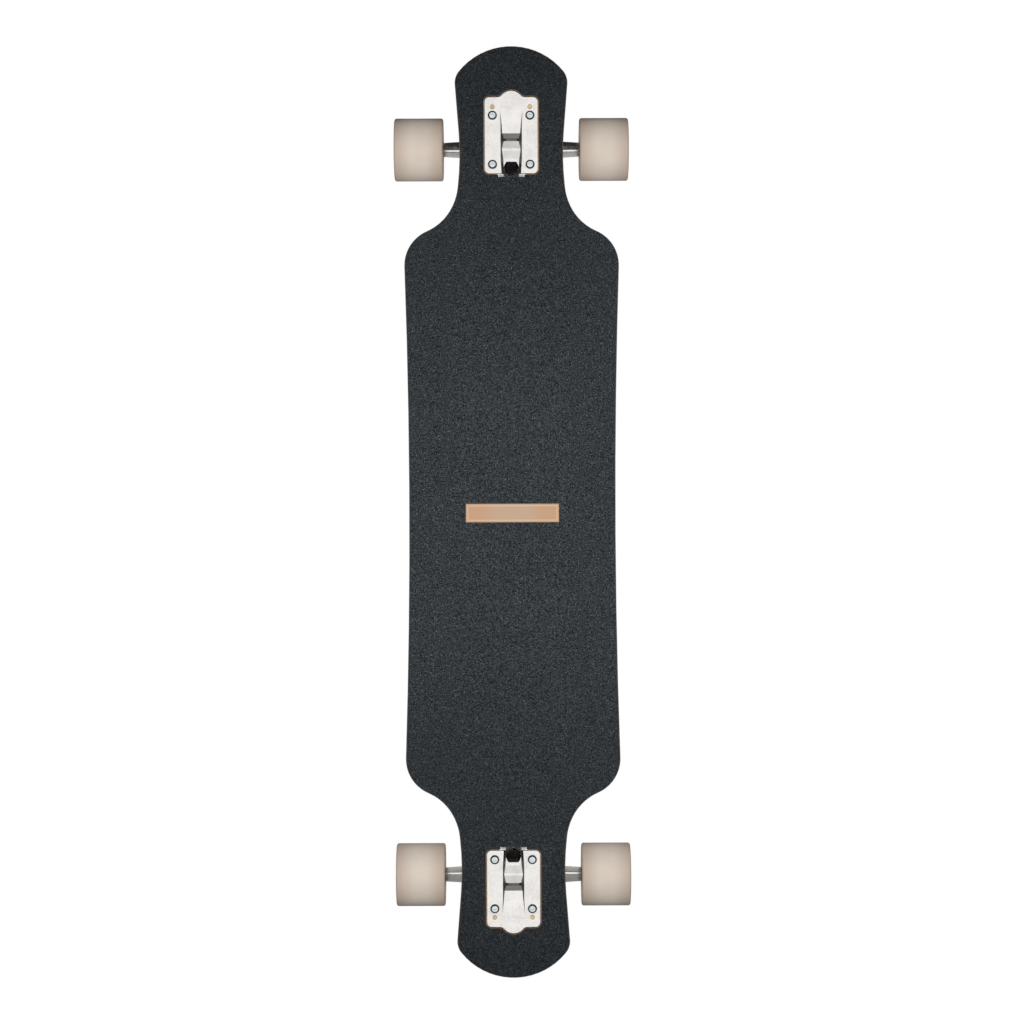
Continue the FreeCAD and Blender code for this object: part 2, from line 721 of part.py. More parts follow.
def plate_prism(name, gap, bottom, height):
    body = doc.addObject("PartDesign::Body", name)
    sketch = new_sketch(body, name + "_outline", "XY_Plane")
    half = plate_half_width + gap
    outer = plate_outer + gap
    inner = plate_inner + gap
    corner = d.plate_corner + gap
    bump_r = d.bump_radius + gap
    hollow = d.bump_fillet - gap
    bump_y = plate_outer + d.bump_rise - d.bump_radius
    w, top, low, r = half.value, outer.value, -inner.value, corner.value
    bump = (0, bump_y.value)
    side_y = top + hollow.value
    side_x = math.sqrt((bump_r.value + hollow.value) ** 2 - (side_y - bump[1]) ** 2)
    right, left = (side_x, side_y), (-side_x, side_y)
    rise = angle_to(bump, right)
    quarter = math.pi / 2
    sketch.addGeometry([
        arc_of(bump, bump_r.value, rise, math.pi - rise),
        arc_of(right, hollow.value, math.pi + rise, 3 * quarter),
        line_of((side_x, top), (w - r, top)),
        arc_of((w - r, top - r), r, 0, quarter),
        line_of((w, top - r), (w, low + r)),
        arc_of((w - r, low + r), r, -quarter, 0),
        line_of((w - r, low), (r - w, low)),
        arc_of((r - w, low + r), r, math.pi, 3 * quarter),
        line_of((-w, low + r), (-w, top - r)),
        arc_of((r - w, top - r), r, quarter, math.pi),
        line_of((r - w, top), (-side_x, top)),
        arc_of(left, hollow.value, 3 * quarter, 2 * math.pi - rise),
    ], False)
    constrain(sketch, [
        tangent(0, 1, 1, 1),
        tangent(1, 2, 2, 1),
        tangent(2, 2, 3, 2),
        tangent(3, 1, 4, 1),
        tangent(4, 2, 5, 2),
        tangent(5, 1, 6, 1),
        tangent(6, 2, 7, 2),
        tangent(7, 1, 8, 1),
        tangent(8, 2, 9, 2),
        tangent(9, 1, 10, 1),
        tangent(10, 2, 11, 1),
        tangent(11, 2, 0, 2),
        (Constraint("PointOnObject", 0, 3, -2), None),
        at_y(0, 3, bump_y),
        radius_of(0, bump_r),
        radius_of(1, hollow),
        radius_of(11, hollow),
        radius_of(3, corner),
        radius_of(5, corner),
        radius_of(7, corner),
        radius_of(9, corner),
        (Constraint("Horizontal", 2), None),
        (Constraint("Horizontal", 10), None),
        (Constraint("Horizontal", 6), None),
        (Constraint("Vertical", 4), None),
        (Constraint("Vertical", 8), None),
        at_y(2, 1, outer),
        at_y(10, 2, outer),
        at_y(6, 1, -inner),
        at_x(4, 1, half),
        at_x(8, 1, -half),
    ])
    pad = body.newObject("PartDesign::Pad", name + "_pad")
    pad.Profile = sketch
    pad.Length = as_size(height).value
    bind(pad, "Length", height)
    return place(body, 0, truck_station, bottom)


def both_ends(name, item):
    """An item of the front end with its half-turn copy at the rear."""
    rear = grouped(name + "_rear", [item])
    rear.Placement = Placement(Vector(0, 0, 0), Rotation(*HALF_TURN))
    return grouped(name, [item, rear])


bolt_x = d.bolt_width_pitch / 2
bolt_y = d.bolt_length_pitch / 2
bolt_places = []
for side in (1, -1):
    for end in (1, -1):
        bolt_places.append((bolt_x * side, truck_station + bolt_y * end))

pocket_floor = plate_top - d.plate_thickness

# Deck: bent blank, trimmed to the outline, rounded, routed for the trucks

blank = bent_blank("deck_blank", deck_top, d.deck_thickness)
trimmed = common("deck_trimmed", blank, outline_prism("deck_plan", NONE))
doc.recompute()


def on_rim(edge):
    """True where an upright side face meets the top or the underside."""
    faces = trimmed.Shape.ancestorsOfType(edge, Part.Face)
    upright = [abs(face.normalAt(*face.Surface.parameter(edge.CenterOfMass)).z) < 0.02 for face in faces]
    return sum(upright) == 1 and len(faces) == 2


rounded = filleted("deck_rounded", trimmed, d.edge_round, on_rim)
cut_start = plate_top - d.cutter_reach / 2
pocket = plate_prism("truck_pocket", d.pocket_gap, pocket_floor, d.cutter_reach)
slot_half = d.fin_half_width + d.slot_gap
slot = box("truck_slot", slot_half * 2, d.slot_half_length * 2, d.cutter_reach)
place(slot, -slot_half, truck_station - d.slot_half_length, cut_start)
hole = cylinder("bolt_hole", d.bolt_hole_radius, d.cutter_reach)
holes = copies("bolt_holes", hole, [(x, y, cut_start) for x, y in bolt_places])
routing = both_ends("truck_routing", fused("truck_route", [pocket, slot, holes]))
keep("deck", cut("deck", rounded, routing))

# Grip tape with a window for each baseplate and one for the strip at the middle

grip_blank = bent_blank("grip_blank", plate_top, d.grip_thickness)
grip_sheet = common("grip_sheet", grip_blank, outline_prism("grip_plan", d.grip_inset))
window = plate_prism("grip_window", d.pocket_gap + d.window_gap, pocket_floor, d.cutter_reach)
window_length = d.inlay_length + d.inlay_gap * 2
window_width = d.inlay_width + d.inlay_gap * 2
middle_window = box("middle_window", window_length, window_width, d.cutter_reach)
place(middle_window, window_length / -2, window_width / -2 - d.inlay_shift, cut_start)
tongue_half = d.fin_half_width + d.window_gap
tongue_reach = d.fin_back + d.window_gap
tongue_window = box("tongue_window", tongue_half * 2, tongue_reach, d.cutter_reach)
place(tongue_window, -tongue_half, truck_station - tongue_reach, cut_start)
end_window = fused("grip_end_window", [window, tongue_window])
windows = grouped("grip_windows", [both_ends("grip_end_windows", end_window), middle_window])
keep("grip_tape", cut("grip_tape", grip_sheet, windows))

inlay = box("grip_inlay", d.inlay_length, d.inlay_width, d.grip_thickness)
keep("grip_inlay", place(inlay, d.inlay_length / -2, d.inlay_width / -2 - d.inlay_shift, platform_grip))

# Baseplate: flange, fin and cup housing, hollowed by a trough and bored for kingpin, cup and bolts

front = {}


def lean_spot(along, up):
    """A point of the leaning frame, seen from the bolt pattern's middle at the plate's top."""
    along, up = as_size(along), as_size(up)
    y = along * lean_cos - up * lean_sin - d.ring_back
    z = along * lean_sin + up * lean_cos - d.ring_drop
    return y, z


flange_block = plate_prism("plate_block", NONE, pocket_floor, d.plate_thickness)
flange = filleted("plate_flange", flange_block, d.plate_edge_round, edges_over(plate_top.value - fit.value))
rim_half = d.ring_half + d.ring_lip
skirt = d.bushing_seat - d.seat_skirt
skirt_front = (skirt + rim_half) / 2
fin = extruded("plate_fin", [
    (d.fin_front, d.plate_thickness / -2),
    (d.fin_front, -d.plate_thickness),
    (d.fin_front / 2, -d.plate_thickness - d.fin_slope),
    lean_spot(d.ring_radius, skirt_front),
    lean_spot(d.ring_radius / 2, skirt - d.fin_slope),
    lean_spot(0, skirt),
    lean_spot(-d.ring_radius, skirt),
    lean_spot(-d.ring_radius - d.ring_half, skirt - d.fin_slope),
    lean_spot(-d.cup_rim + d.ring_lip, d.housing_radius - d.fin_slope),
    lean_spot(-d.cup_rim + d.fin_slope, d.ring_lip),
    lean_spot(-d.cup_rim - d.cup_radius, -d.housing_radius / 3),
    lean_spot(-d.housing_end - d.fin_wrap * 2, d.housing_radius / 3),
    lean_spot(-d.housing_end - d.fin_wrap, d.housing_radius + d.fin_wrap),
    lean_spot(-d.pivot_back, d.housing_radius * 2),
    (-d.fin_back, -d.fin_heel),
    (-d.fin_back, d.plate_thickness / -2),
], "YZ_Plane", d.fin_half_width * 2, both=True)
place(fin, 0, truck_station, plate_top)
housing = cylinder("cup_housing", d.housing_radius, d.housing_end - d.cup_rim)
on_steering_axis(housing, -d.housing_end)
seat_boss = cylinder("seat_boss", d.fin_half_width + d.seat_wall, d.seat_skirt)
on_truck(seat_boss, 0, d.bushing_seat)
plate_solid = fused("plate_solid", [flange, fin, housing, seat_boss])

trough_end = d.fin_back + d.cutter_over
trough_side = extruded("trough_side", [
    (d.trough_front + d.cutter_over, d.cutter_over),
    (d.trough_front, 0),
    (d.ramp_to, -d.ramp_depth),
    (d.groove_from, -d.slope_depth),
    (d.groove_from, -d.trough_deep),
    (-d.groove_to, -d.trough_deep),
    (-d.groove_to, -d.rise_depth),
    (-d.bar_from, -d.trough_shelf),
    (-d.bar_to, -d.trough_shelf),
    (-d.shelf_to, -d.notch_depth),
    (-trough_end, -d.notch_depth),
    (-trough_end, d.cutter_over),
], "YZ_Plane", d.cutter_reach, both=True)
trough_plan = doc.addObject("PartDesign::Body", "trough_plan")
floor_half = d.trough_half_width
front_half = floor_half + d.trough_flare
back_half = floor_half - d.trough_pinch
back_y = -trough_end - d.cutter_over
trough_right = [
    (back_half, back_y),
    (floor_half, -d.shelf_to),
    (floor_half, d.trough_front / 2),
    (front_half, d.trough_front + d.bump_fillet),
]
trough_left = [(-x, y) for x, y in reversed(trough_right)]
trough_sketch = new_sketch(trough_plan, "trough_plan_outline", "XY_Plane")
trough_pad = trough_plan.newObject("PartDesign::Pad", "trough_plan_pad")
trough_pad.Profile = polygon(trough_sketch, trough_right + trough_left)
trough_pad.Reversed = True
bind(trough_pad, "Length", d.trough_deep + d.cutter_over)
bind(trough_pad, "TaperAngle", -d.trough_draft)
trough = place(common("trough", trough_plan, trough_side), 0, truck_station, plate_top + fit)
head_pocket = on_truck(cylinder("head_pocket", d.head_pocket_radius, d.cutter_reach / 2), 0, d.head_seat)
kingpin_bore = on_truck(cylinder("kingpin_bore", d.kingpin_radius + d.kingpin_bore_fit, d.cutter_reach))
seat_clear = cylinder("seat_clear", d.bushing_radius + d.seat_room, d.cutter_reach)
on_truck(seat_clear, 0, d.bushing_seat - d.cutter_reach)
cup_bore = cylinder("cup_bore", d.cup_radius + d.rod_fit, d.cup_end - d.nose_root)
on_steering_axis(cup_bore, -d.cup_end - d.rod_fit)
plate_hole = cylinder("plate_hole", d.bolt_hole_radius, d.cutter_reach)
plate_holes = copies("plate_holes", plate_hole, [(x, y, cut_start) for x, y in bolt_places])
spare_y = truck_station + bolt_y + d.spare_hole_shift
spare_holes = copies("spare_holes", plate_hole, [(bolt_x * side, spare_y, cut_start) for side in (1, -1)])
above = box("above_plate", d.cutter_reach * 2, d.cutter_reach * 2, d.cutter_reach)
place(above, -d.cutter_reach, truck_station - d.cutter_reach, plate_top)
plate_tools = grouped("plate_tools", [
    above,
    trough,
    head_pocket,
    kingpin_bore,
    seat_clear,
    cup_bore,
    plate_holes,
    spare_holes,
])
front["baseplate"] = cut("front_baseplate", plate_solid, plate_tools)

# Mounting bolts and nuts

deck_bottom = deck_top - d.deck_thickness
nut_whole_height = d.nut_hex_height + d.nut_collar_height
bolt_tip = plate_top - deck_bottom + nut_whole_height + d.bolt_proud
bolt_turned = turned_z("bolt_turned", [
    (0, -bolt_tip),
    (d.bolt_shank_radius - d.bolt_chamfer, -bolt_tip),
    (d.bolt_shank_radius, -bolt_tip + d.bolt_chamfer),
    (d.bolt_shank_radius, 0),
    (d.bolt_head_radius, 0),
    (d.bolt_head_radius, d.bolt_head_rim),
    (d.bolt_head_top, d.bolt_head_height),
    (0, d.bolt_head_height),
])
head_top_edge = edges_over(d.bolt_head_height.value - fit.value)
bolt_body = filleted("bolt_body", bolt_turned, d.bolt_head_round, head_top_edge)
recess_half = d.recess_length / 2
recess_floor = d.bolt_head_height - d.recess_depth
recess_long = box("recess_long", d.recess_length, d.recess_width, d.bolt_head_height)
place(recess_long, -recess_half, d.recess_width / -2, recess_floor)
recess_wide = box("recess_wide", d.recess_width, d.recess_length, d.bolt_head_height)
place(recess_wide, d.recess_width / -2, -recess_half, recess_floor)
bolt = cut("mounting_bolt", bolt_body, fused("bolt_recess", [recess_long, recess_wide]))
front["mounting_bolts"] = copies("front_mounting_bolts", bolt, [(x, y, plate_top) for x, y in bolt_places])

nut_body = hexagon("nut_body", d.nut_flats, d.nut_hex_height)
nut_collar = place(cylinder("nut_collar", d.nut_collar_radius, d.nut_collar_height), 0, 0, d.nut_hex_height)
nut_solid = fused("nut_solid", [nut_body, nut_collar])
nut_bore = cylinder("nut_bore", d.bolt_shank_radius + fit, d.cutter_reach)
place(nut_bore, 0, 0, d.cutter_reach / -2)
mounting_nut = cut("mounting_nut", nut_solid, nut_bore)
hung_nut = place(grouped("hung_nut", [mounting_nut]), 0, 0, 0, (Vector(1, 0, 0), 180))
nut_z = deck_bottom - fit
front["mounting_nuts"] = copies("front_mounting_nuts", hung_nut, [(x, y, nut_z) for x, y in bolt_places])

# Kingpin with its bushings, washers and nut, about the leaning axis

shank = cylinder("kingpin_shank", d.kingpin_radius, d.kingpin_end + d.head_seat)
place(shank, 0, 0, -d.kingpin_end)
head = hexagon("kingpin_hex", d.kingpin_head_flats, d.kingpin_head_height)
place(head, 0, 0, d.head_seat + fit)
crown = doc.addObject("Part::Cone", "kingpin_crown")
bind(crown, "Radius1", d.kingpin_head_flats * 0.72)
bind(crown, "Radius2", d.kingpin_head_flats * 0.46)
bind(crown, "Height", d.kingpin_head_height + d.kingpin_crown)
place(crown, 0, 0, d.head_seat)
head_cut = common("kingpin_head", head, crown)
root = cylinder("kingpin_root", d.kingpin_radius, d.washer_thickness)
place(root, 0, 0, d.head_seat - d.kingpin_crown)
front["kingpin"] = on_truck(fused("front_kingpin", [shank, root, head_cut]))

bore = d.kingpin_radius + d.pin_fit
upper_top = d.bushing_seat - fit
upper_low = d.bushing_seat - d.washer_thickness
front["upper_bushing_washer"] = on_truck(turned_z("front_upper_bushing_washer", [
    (bore, upper_low),
    (d.washer_radius, upper_low),
    (d.washer_radius, upper_top),
    (bore, upper_top),
]))
seat = d.ring_half + fit
tall = upper_low - fit
front["boardside_bushing"] = on_truck(turned_z("front_boardside_bushing", [
    (bore, seat),
    (d.bushing_radius - d.bushing_bevel, seat),
    (d.bushing_radius, seat + d.bushing_bevel),
    (d.bushing_radius, tall - d.bushing_shoulder),
    (d.bushing_radius - d.bushing_bevel, tall),
    (bore, tall),
]))
road_end = d.ring_half + d.roadside_height
front["roadside_bushing"] = on_truck(turned_z("front_roadside_bushing", [
    (bore, -seat),
    (d.bushing_radius - d.bushing_bevel, -seat),
    (d.bushing_radius, -seat - d.bushing_bevel),
    (d.bushing_radius, -seat - d.bushing_bevel * 2),
    (d.bushing_radius - d.bushing_taper, -road_end),
    (bore, -road_end),
]))
lower_top = road_end + fit
lower_end = lower_top + d.washer_thickness
front["lower_bushing_washer"] = on_truck(turned_z("front_lower_bushing_washer", [
    (bore, -lower_top),
    (d.road_washer_radius, -lower_top),
    (d.road_washer_radius, -lower_end),
    (bore, -lower_end),
]))
nut_low = -lower_end - fit - d.nut_height
collar_height = d.nut_height * 0.3
nut_hex = hexagon("kingpin_nut_hex", d.kingpin_nut_flats, d.nut_height - collar_height)
place(nut_hex, 0, 0, nut_low + collar_height)
nut_ring = place(cylinder("kingpin_nut_ring", d.kingpin_nut_collar, d.nut_height / 2), 0, 0, nut_low)
nut_whole = fused("kingpin_nut_whole", [nut_hex, nut_ring])
nut_hole = cylinder("kingpin_nut_hole", d.kingpin_radius + fit, d.cutter_reach)
place(nut_hole, 0, 0, -d.cutter_reach)
front["kingpin_nut"] = on_truck(cut("front_kingpin_nut", nut_whole, nut_hole))

# Pivot cup and the hanger's nose turn about the steering axis

ball = d.pivot_radius
hollow = ball + d.pivot_play
cup_body = revolved("front_pivot_cup", [
    (0, -d.cup_end),
    (d.cup_radius, -d.cup_end),
    (d.cup_radius, -d.cup_rim),
    (hollow + d.cup_bevel, -d.cup_rim),
    (hollow, -d.cup_rim - d.cup_bevel),
    (hollow, -d.pivot_back),
    (hollow * 0.866, -d.pivot_back - hollow * 0.56),
    (hollow * 0.55, -d.pivot_back - hollow * 0.9),
    (0, -d.pivot_back - hollow * 1.05),
], "XY_Plane", "V_Axis")
front["pivot_cup"] = on_truck(cup_body)

# Hanger: ring, nose, web, and two tapering arms with a ridge along the top

axle_along = (ring_y - axle_y) * lean_cos * -1 + (ring_z - axle_z) * lean_sin * -1
axle_up = (ring_y - axle_y) * lean_sin + (ring_z - axle_z) * lean_cos * -1
ring = place(cylinder("hanger_ring", d.ring_radius, rim_half * 2), 0, 0, -rim_half)
nose = revolved("hanger_nose", [
    (0, -rim_half),
    (d.nose_root, -rim_half),
    (d.nose_root, -d.ring_radius),
    (ball + d.nose_taper, -d.cup_rim + ball),
    (ball, -d.cup_rim + d.ring_lip / 2),
    (ball, -d.pivot_back),
    (ball * 0.87, -d.pivot_back - ball * 0.5),
    (ball * 0.5, -d.pivot_back - ball * 0.87),
    (0, -d.pivot_back - ball),
], "XY_Plane", "V_Axis")
beam_radius = d.hanger_end_radius
web = extruded("hanger_web", [
    (-d.ring_half, rim_half),
    (-d.ring_radius, rim_half),
    (-d.cup_rim + ball, d.ring_lip),
    (-d.cup_rim + d.ring_lip / 2, -d.ring_half),
    (axle_along - beam_radius, axle_up),
    (axle_along - beam_radius / 2, axle_up - beam_radius),
    (axle_along + beam_radius * 0.7, axle_up - beam_radius),
    (-d.web_front, axle_up + beam_radius / 2),
    (-d.web_front, -rim_half),
    (-d.ring_half, -rim_half),
], "YZ_Plane", d.web_half_width * 2, both=True)
hanger_core = fused("hanger_core", [ring, nose, web])
on_truck(hanger_core)


def arm_section(body, name, x, half, rise):
    """Round about the axle, drawn up to a ridge by two tangent flanks."""
    sketch = new_sketch(body, name, "YZ_Plane", x)
    ridge = d.arm_ridge_radius
    ridge_z = half + rise - ridge
    turn = math.acos((half.value - ridge.value) / ridge_z.value)
    quarter = math.pi / 2
    side = (math.sin(turn), math.cos(turn))
    crest = (ridge.value * side[0], ridge_z.value + ridge.value * side[1])
    flank = (half.value * side[0], half.value * side[1])
    sketch.addGeometry([
        arc_of((0, ridge_z.value), ridge.value, quarter - turn, quarter + turn),
        line_of((-crest[0], crest[1]), (-flank[0], flank[1])),
        arc_of((0, 0), half.value, quarter + turn, 5 * quarter - turn),
        line_of(flank, crest),
    ], False)
    constrain(sketch, [
        tangent(0, 2, 1, 1),
        tangent(1, 2, 2, 1),
        tangent(2, 2, 3, 1),
        tangent(3, 2, 0, 1),
        meet(2, 3, -1, 1),
        (Constraint("PointOnObject", 0, 3, -2), None),
        at_y(0, 3, ridge_z),
        radius_of(0, ridge),
        radius_of(2, half),
    ])
    return sketch


arms = doc.addObject("PartDesign::Body", "hanger_arms")
stations = [
    (d.hanger_half - d.hanger_end_length, d.arm_half_outer, d.arm_ridge),
    (neck_half_width, d.arm_half_inner, d.arm_ridge),
    ((neck_half_width + d.ring_radius) / 2, d.arm_half_inner, d.arm_rise),
    (d.ring_radius, d.arm_half_inner, d.arm_peak),
]
sections = []
for number, (x, half, rise) in enumerate(stations, start=1):
    sections.append(arm_section(arms, f"arm_left_{number}", -x, half, rise))
for number, (x, half, rise) in reversed(list(enumerate(stations, start=1))):
    sections.append(arm_section(arms, f"arm_right_{number}", x, half, rise))
loft = arms.newObject("PartDesign::AdditiveLoft", "hanger_arms_loft")
loft.Profile = sections[0]
loft.Sections = sections[1:]
loft.Ruled = True
place(arms, 0, axle_y, axle_z, (Vector(1, 0, 0), d.arm_lean))
beam = cylinder("hanger_beam", beam_radius, d.hanger_half * 2)
place(beam, -d.hanger_half, axle_y, axle_z, ALONG_X)
hanger_solid = fused("hanger_solid", [hanger_core, arms, beam])
seat_radius = d.bushing_radius + d.bushing_play
seat_up = on_truck(cylinder("seat_up", seat_radius, d.cutter_reach), 0, d.ring_half)
seat_down = on_truck(cylinder("seat_down", seat_radius, d.cutter_reach), 0, -d.ring_half - d.cutter_reach)
ring_bore = cylinder("ring_bore", d.kingpin_radius + d.ring_play, d.cutter_reach)
on_truck(ring_bore, 0, d.cutter_reach / -2)
axle_bore = cylinder("axle_bore", d.axle_radius + fit, axle_half * 2)
place(axle_bore, -axle_half, axle_y, axle_z, ALONG_X)
room_half = lower_end * math.sin(math.radians(d.steer_limit.value)) + d.road_washer_radius + d.lean_gap
room_back = d.road_washer_radius + d.lean_gap
washer_room = extruded("washer_room", [
    (-room_back, -rim_half),
    (-room_back, -d.cutter_reach),
    (d.cutter_reach, -d.cutter_reach),
    (d.cutter_reach, -rim_half),
], "YZ_Plane", room_half * 2, both=True)
on_truck(washer_room)
cup_room = turned_z("cup_room", [
    (d.pivot_radius + d.cup_wall, -d.cutter_reach),
    (d.housing_radius + d.housing_room, -d.cutter_reach),
    (d.housing_radius + d.housing_room, 0),
    (d.pivot_radius + d.cup_wall, 0),
])
on_steering_axis(cup_room, -d.cup_rim + d.ring_lip / 2)
hanger_tools = grouped("hanger_tools", [seat_up, seat_down, ring_bore, axle_bore, washer_room, cup_room])
front["hanger"] = cut("front_hanger", hanger_solid, hanger_tools)

axle_rod = turned_x("front_axle", [
    (-axle_half, 0),
    (-axle_half, d.axle_radius - d.axle_bevel),
    (-axle_half + d.axle_bevel, d.axle_radius),
    (axle_half - d.axle_bevel, d.axle_radius),
    (axle_half, d.axle_radius - d.axle_bevel),
    (axle_half, 0),
])
front["axle"] = place(axle_rod, 0, axle_y, axle_z)

# Pieces of the right-hand stack


def tube_x(name, start, length, inner, outer):
    inner, outer, start = as_size(inner), as_size(outer), as_size(start)
    item = turned_x(name, [(0, inner), (0, outer), (length, outer), (length, inner)])
    return place(item, start, axle_y, axle_z)


def left_copy(name, item):
    """The half-turn copy on the truck's other side."""
    copy = grouped(name, [item])
    return place(copy, 0, axle_y * 2, 0, HALF_TURN)


def both_sides(name, parts):
    left = [left_copy(f"{name}_left_{number}", part) for number, part in enumerate(parts, start=1)]
    return grouped(name, parts + left)


rod = d.axle_radius + d.rod_fit
washers = []
for number, start in enumerate((washer_1, washer_2), start=1):
    washers.append(tube_x(f"speed_washer_{number}", start, d.speed_washer, rod, d.speed_washer_radius))
front["axle_washers"] = both_sides("front_axle_washers", washers)

spacer = tube_x("bearing_spacer", spacer_1, d.spacer_width, rod, rod + d.spacer_wall)
front["bearing_spacers"] = both_sides("front_bearing_spacers", [spacer])

groove = d.ball_radius + d.ball_play
shoulder_in = d.bearing_pitch - d.race_shoulder
shoulder_out = d.bearing_pitch + d.race_shoulder
half_width = d.bearing_width / 2


def ring_profile(inner, outer):
    return [(-half_width, inner), (-half_width, outer), (half_width, outer), (half_width, inner)]


def race(name, inner, outer, start):
    body = turned_x(name + "_blank", ring_profile(inner, outer))
    torus = doc.addObject("Part::Torus", name + "_groove")
    bind(torus, "Radius1", d.bearing_pitch)
    bind(torus, "Radius2", groove)
    place(torus, 0, 0, 0, ALONG_X)
    ring_cut = cut(name, body, torus)
    return place(ring_cut, start + half_width, axle_y, axle_z)


inner_rings = []
outer_rings = []
for number, start in enumerate((bearing_1, bearing_2), start=1):
    inner_rings.append(race(f"inner_ring_{number}", d.bearing_bore, shoulder_in, start))
    outer_rings.append(race(f"outer_ring_{number}", shoulder_out, d.bearing_outer, start))
front["bearing_inner_rings"] = both_sides("front_bearing_inner_rings", inner_rings)

axle_nut_hex = hexagon("axle_nut_hex", d.axle_nut_flats, d.axle_nut_height * 0.72)
axle_nut_collar = cylinder("axle_nut_collar", d.axle_nut_flats * 0.44, d.axle_nut_height)
axle_nut_solid = fused("axle_nut_solid", [axle_nut_hex, axle_nut_collar])
axle_nut_bore = place(cylinder("axle_nut_bore", rod, d.cutter_reach), 0, 0, d.cutter_reach / -2)
axle_nut = cut("axle_nut", axle_nut_solid, axle_nut_bore)
place(axle_nut, nut_1, axle_y, axle_z, ALONG_X)
front["axle_nuts"] = both_sides("front_axle_nuts", [axle_nut])

# Wheel: tyre, core, and what turns with them in the bearings

wheel = {}
half_tyre = d.wheel_width / 2
tread = d.wheel_diameter / 2
bond = d.core_radius + fit
face = tread - d.wheel_land
dish = half_tyre - d.wheel_dish
slope = (half_tyre + dish) / 2
tyre_blank = turned_x("tyre_blank", [
    (-half_tyre, tread),
    (half_tyre, tread),
    (half_tyre, face),
    (slope, bond + d.dish_rise),
    (dish, bond + d.dish_foot),
    (dish - d.dish_foot, bond),
    (d.dish_foot - dish, bond),
    (-dish, bond + d.dish_foot),
    (-slope, bond + d.dish_rise),
    (-half_tyre, face),
])
lip = tread.value - fit.value
tyre = filleted("front_right_tyre", tyre_blank, d.wheel_edge_round, lambda edge: edge.BoundBox.ZMax > lip)
wheel["tyre"] = place(tyre, wheel_centre, axle_y, axle_z)

core_half = bearing_2 + d.bearing_width - wheel_centre
core_end = core_half + d.core_lip
core_step = core_half - d.bearing_width - fit
core_seat = d.bearing_outer + fit
core_bore = d.bearing_pitch + d.core_bore_step
core_right = [
    (core_half - d.core_slope, d.core_radius),
    (core_end - d.core_slope, d.core_radius - d.core_lip),
    (core_end, core_seat + d.core_hub),
    (core_end, core_seat),
    (core_step, core_seat),
    (core_step, core_bore),
]
core_left = [(-x, radius) for x, radius in reversed(core_right)]
core = turned_x("front_right_core", core_right + core_left)
wheel["core"] = place(core, wheel_centre, axle_y, axle_z)
wheel["bearing_outer_rings"] = grouped("front_right_bearing_outer_rings", outer_rings)

balls = []
for row, start in enumerate((bearing_1, bearing_2), start=1):
    for number in range(7):
        angle = 2 * math.pi * number / 7
        sphere = doc.addObject("Part::Sphere", f"ball_{row}_{number + 1}")
        bind(sphere, "Radius", d.ball_radius)
        y = axle_y + d.bearing_pitch * round(math.cos(angle), 9)
        z = axle_z + d.bearing_pitch * round(math.sin(angle), 9)
        balls.append(place(sphere, start + half_width, y, z))
wheel["bearing_balls"] = grouped("front_right_bearing_balls", balls)

shields = []
shield_ends = (d.shield_inset, d.bearing_width - d.shield_inset - d.shield_thickness)
for row, start in enumerate((bearing_1, bearing_2), start=1):
    for number, shift in enumerate(shield_ends, start=1):
        name = f"shield_{row}_{number}"
        inner, outer = shoulder_in + d.shield_play, shoulder_out - fit
        shields.append(tube_x(name, start + shift, d.shield_thickness, inner, outer))
wheel["bearing_shields"] = grouped("front_right_bearing_shields", shields)

# Four wheels and two trucks

for name, item in wheel.items():
    keep(f"front_right_{name}", item)
    left = left_copy(f"front_left_{name}", item)
    keep(f"front_left_{name}", left)
    for side, source in (("left", item), ("right", left)):
        copy = grouped(f"rear_{side}_{name}", [source])
        copy.Placement = Placement(Vector(0, 0, 0), Rotation(*HALF_TURN))
        keep(f"rear_{side}_{name}", copy)

for name, item in front.items():
    keep(f"front_{name}", item)
    copy = grouped(f"rear_{name}", [item])
    copy.Placement = Placement(Vector(0, 0, 0), Rotation(*HALF_TURN))
    keep(f"rear_{name}", copy)

doc.recompute()

for item in doc.Objects:
    if "Invalid" in item.State or "Error" in item.State:
        raise RuntimeError(f"{item.Name} failed: {item.State}")
for name, item in nodes.items():
    if item.Shape.isNull() or not item.Shape.isValid() or not item.Shape.Solids:
        raise RuntimeError(f"{name} has no good shape")

os.makedirs("parts", exist_ok=True)
for name, item in nodes.items():
    item.Shape.exportStep(f"parts/{name}.step")
    print(f"{name}: {len(item.Shape.Solids)} solids, {item.Shape.Volume / 1000:.3f} cm3")
print(len(nodes), "parts")
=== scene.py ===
import math

import bpy
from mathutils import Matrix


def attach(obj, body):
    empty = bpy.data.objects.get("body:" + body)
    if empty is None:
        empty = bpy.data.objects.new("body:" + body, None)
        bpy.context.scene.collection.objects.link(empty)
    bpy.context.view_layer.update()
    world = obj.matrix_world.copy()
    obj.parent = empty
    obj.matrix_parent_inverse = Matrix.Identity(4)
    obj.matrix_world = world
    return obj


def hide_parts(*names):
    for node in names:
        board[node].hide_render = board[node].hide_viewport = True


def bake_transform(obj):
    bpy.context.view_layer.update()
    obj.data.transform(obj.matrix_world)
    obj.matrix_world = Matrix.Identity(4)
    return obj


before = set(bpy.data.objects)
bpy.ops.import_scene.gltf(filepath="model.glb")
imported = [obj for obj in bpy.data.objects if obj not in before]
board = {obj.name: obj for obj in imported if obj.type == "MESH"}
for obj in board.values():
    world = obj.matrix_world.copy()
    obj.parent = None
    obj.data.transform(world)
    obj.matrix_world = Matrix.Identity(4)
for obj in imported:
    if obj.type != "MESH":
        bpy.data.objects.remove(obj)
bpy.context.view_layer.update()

# Deck: seven maple veneers glued and pressed over a mould, so the platform is dropped and its rails rise.
# The blank is sawn to the twin-tip outline, its edges are rounded, and clear lacquer goes over the wood.
# Each end is routed through, so that the truck's baseplate lies in the top.

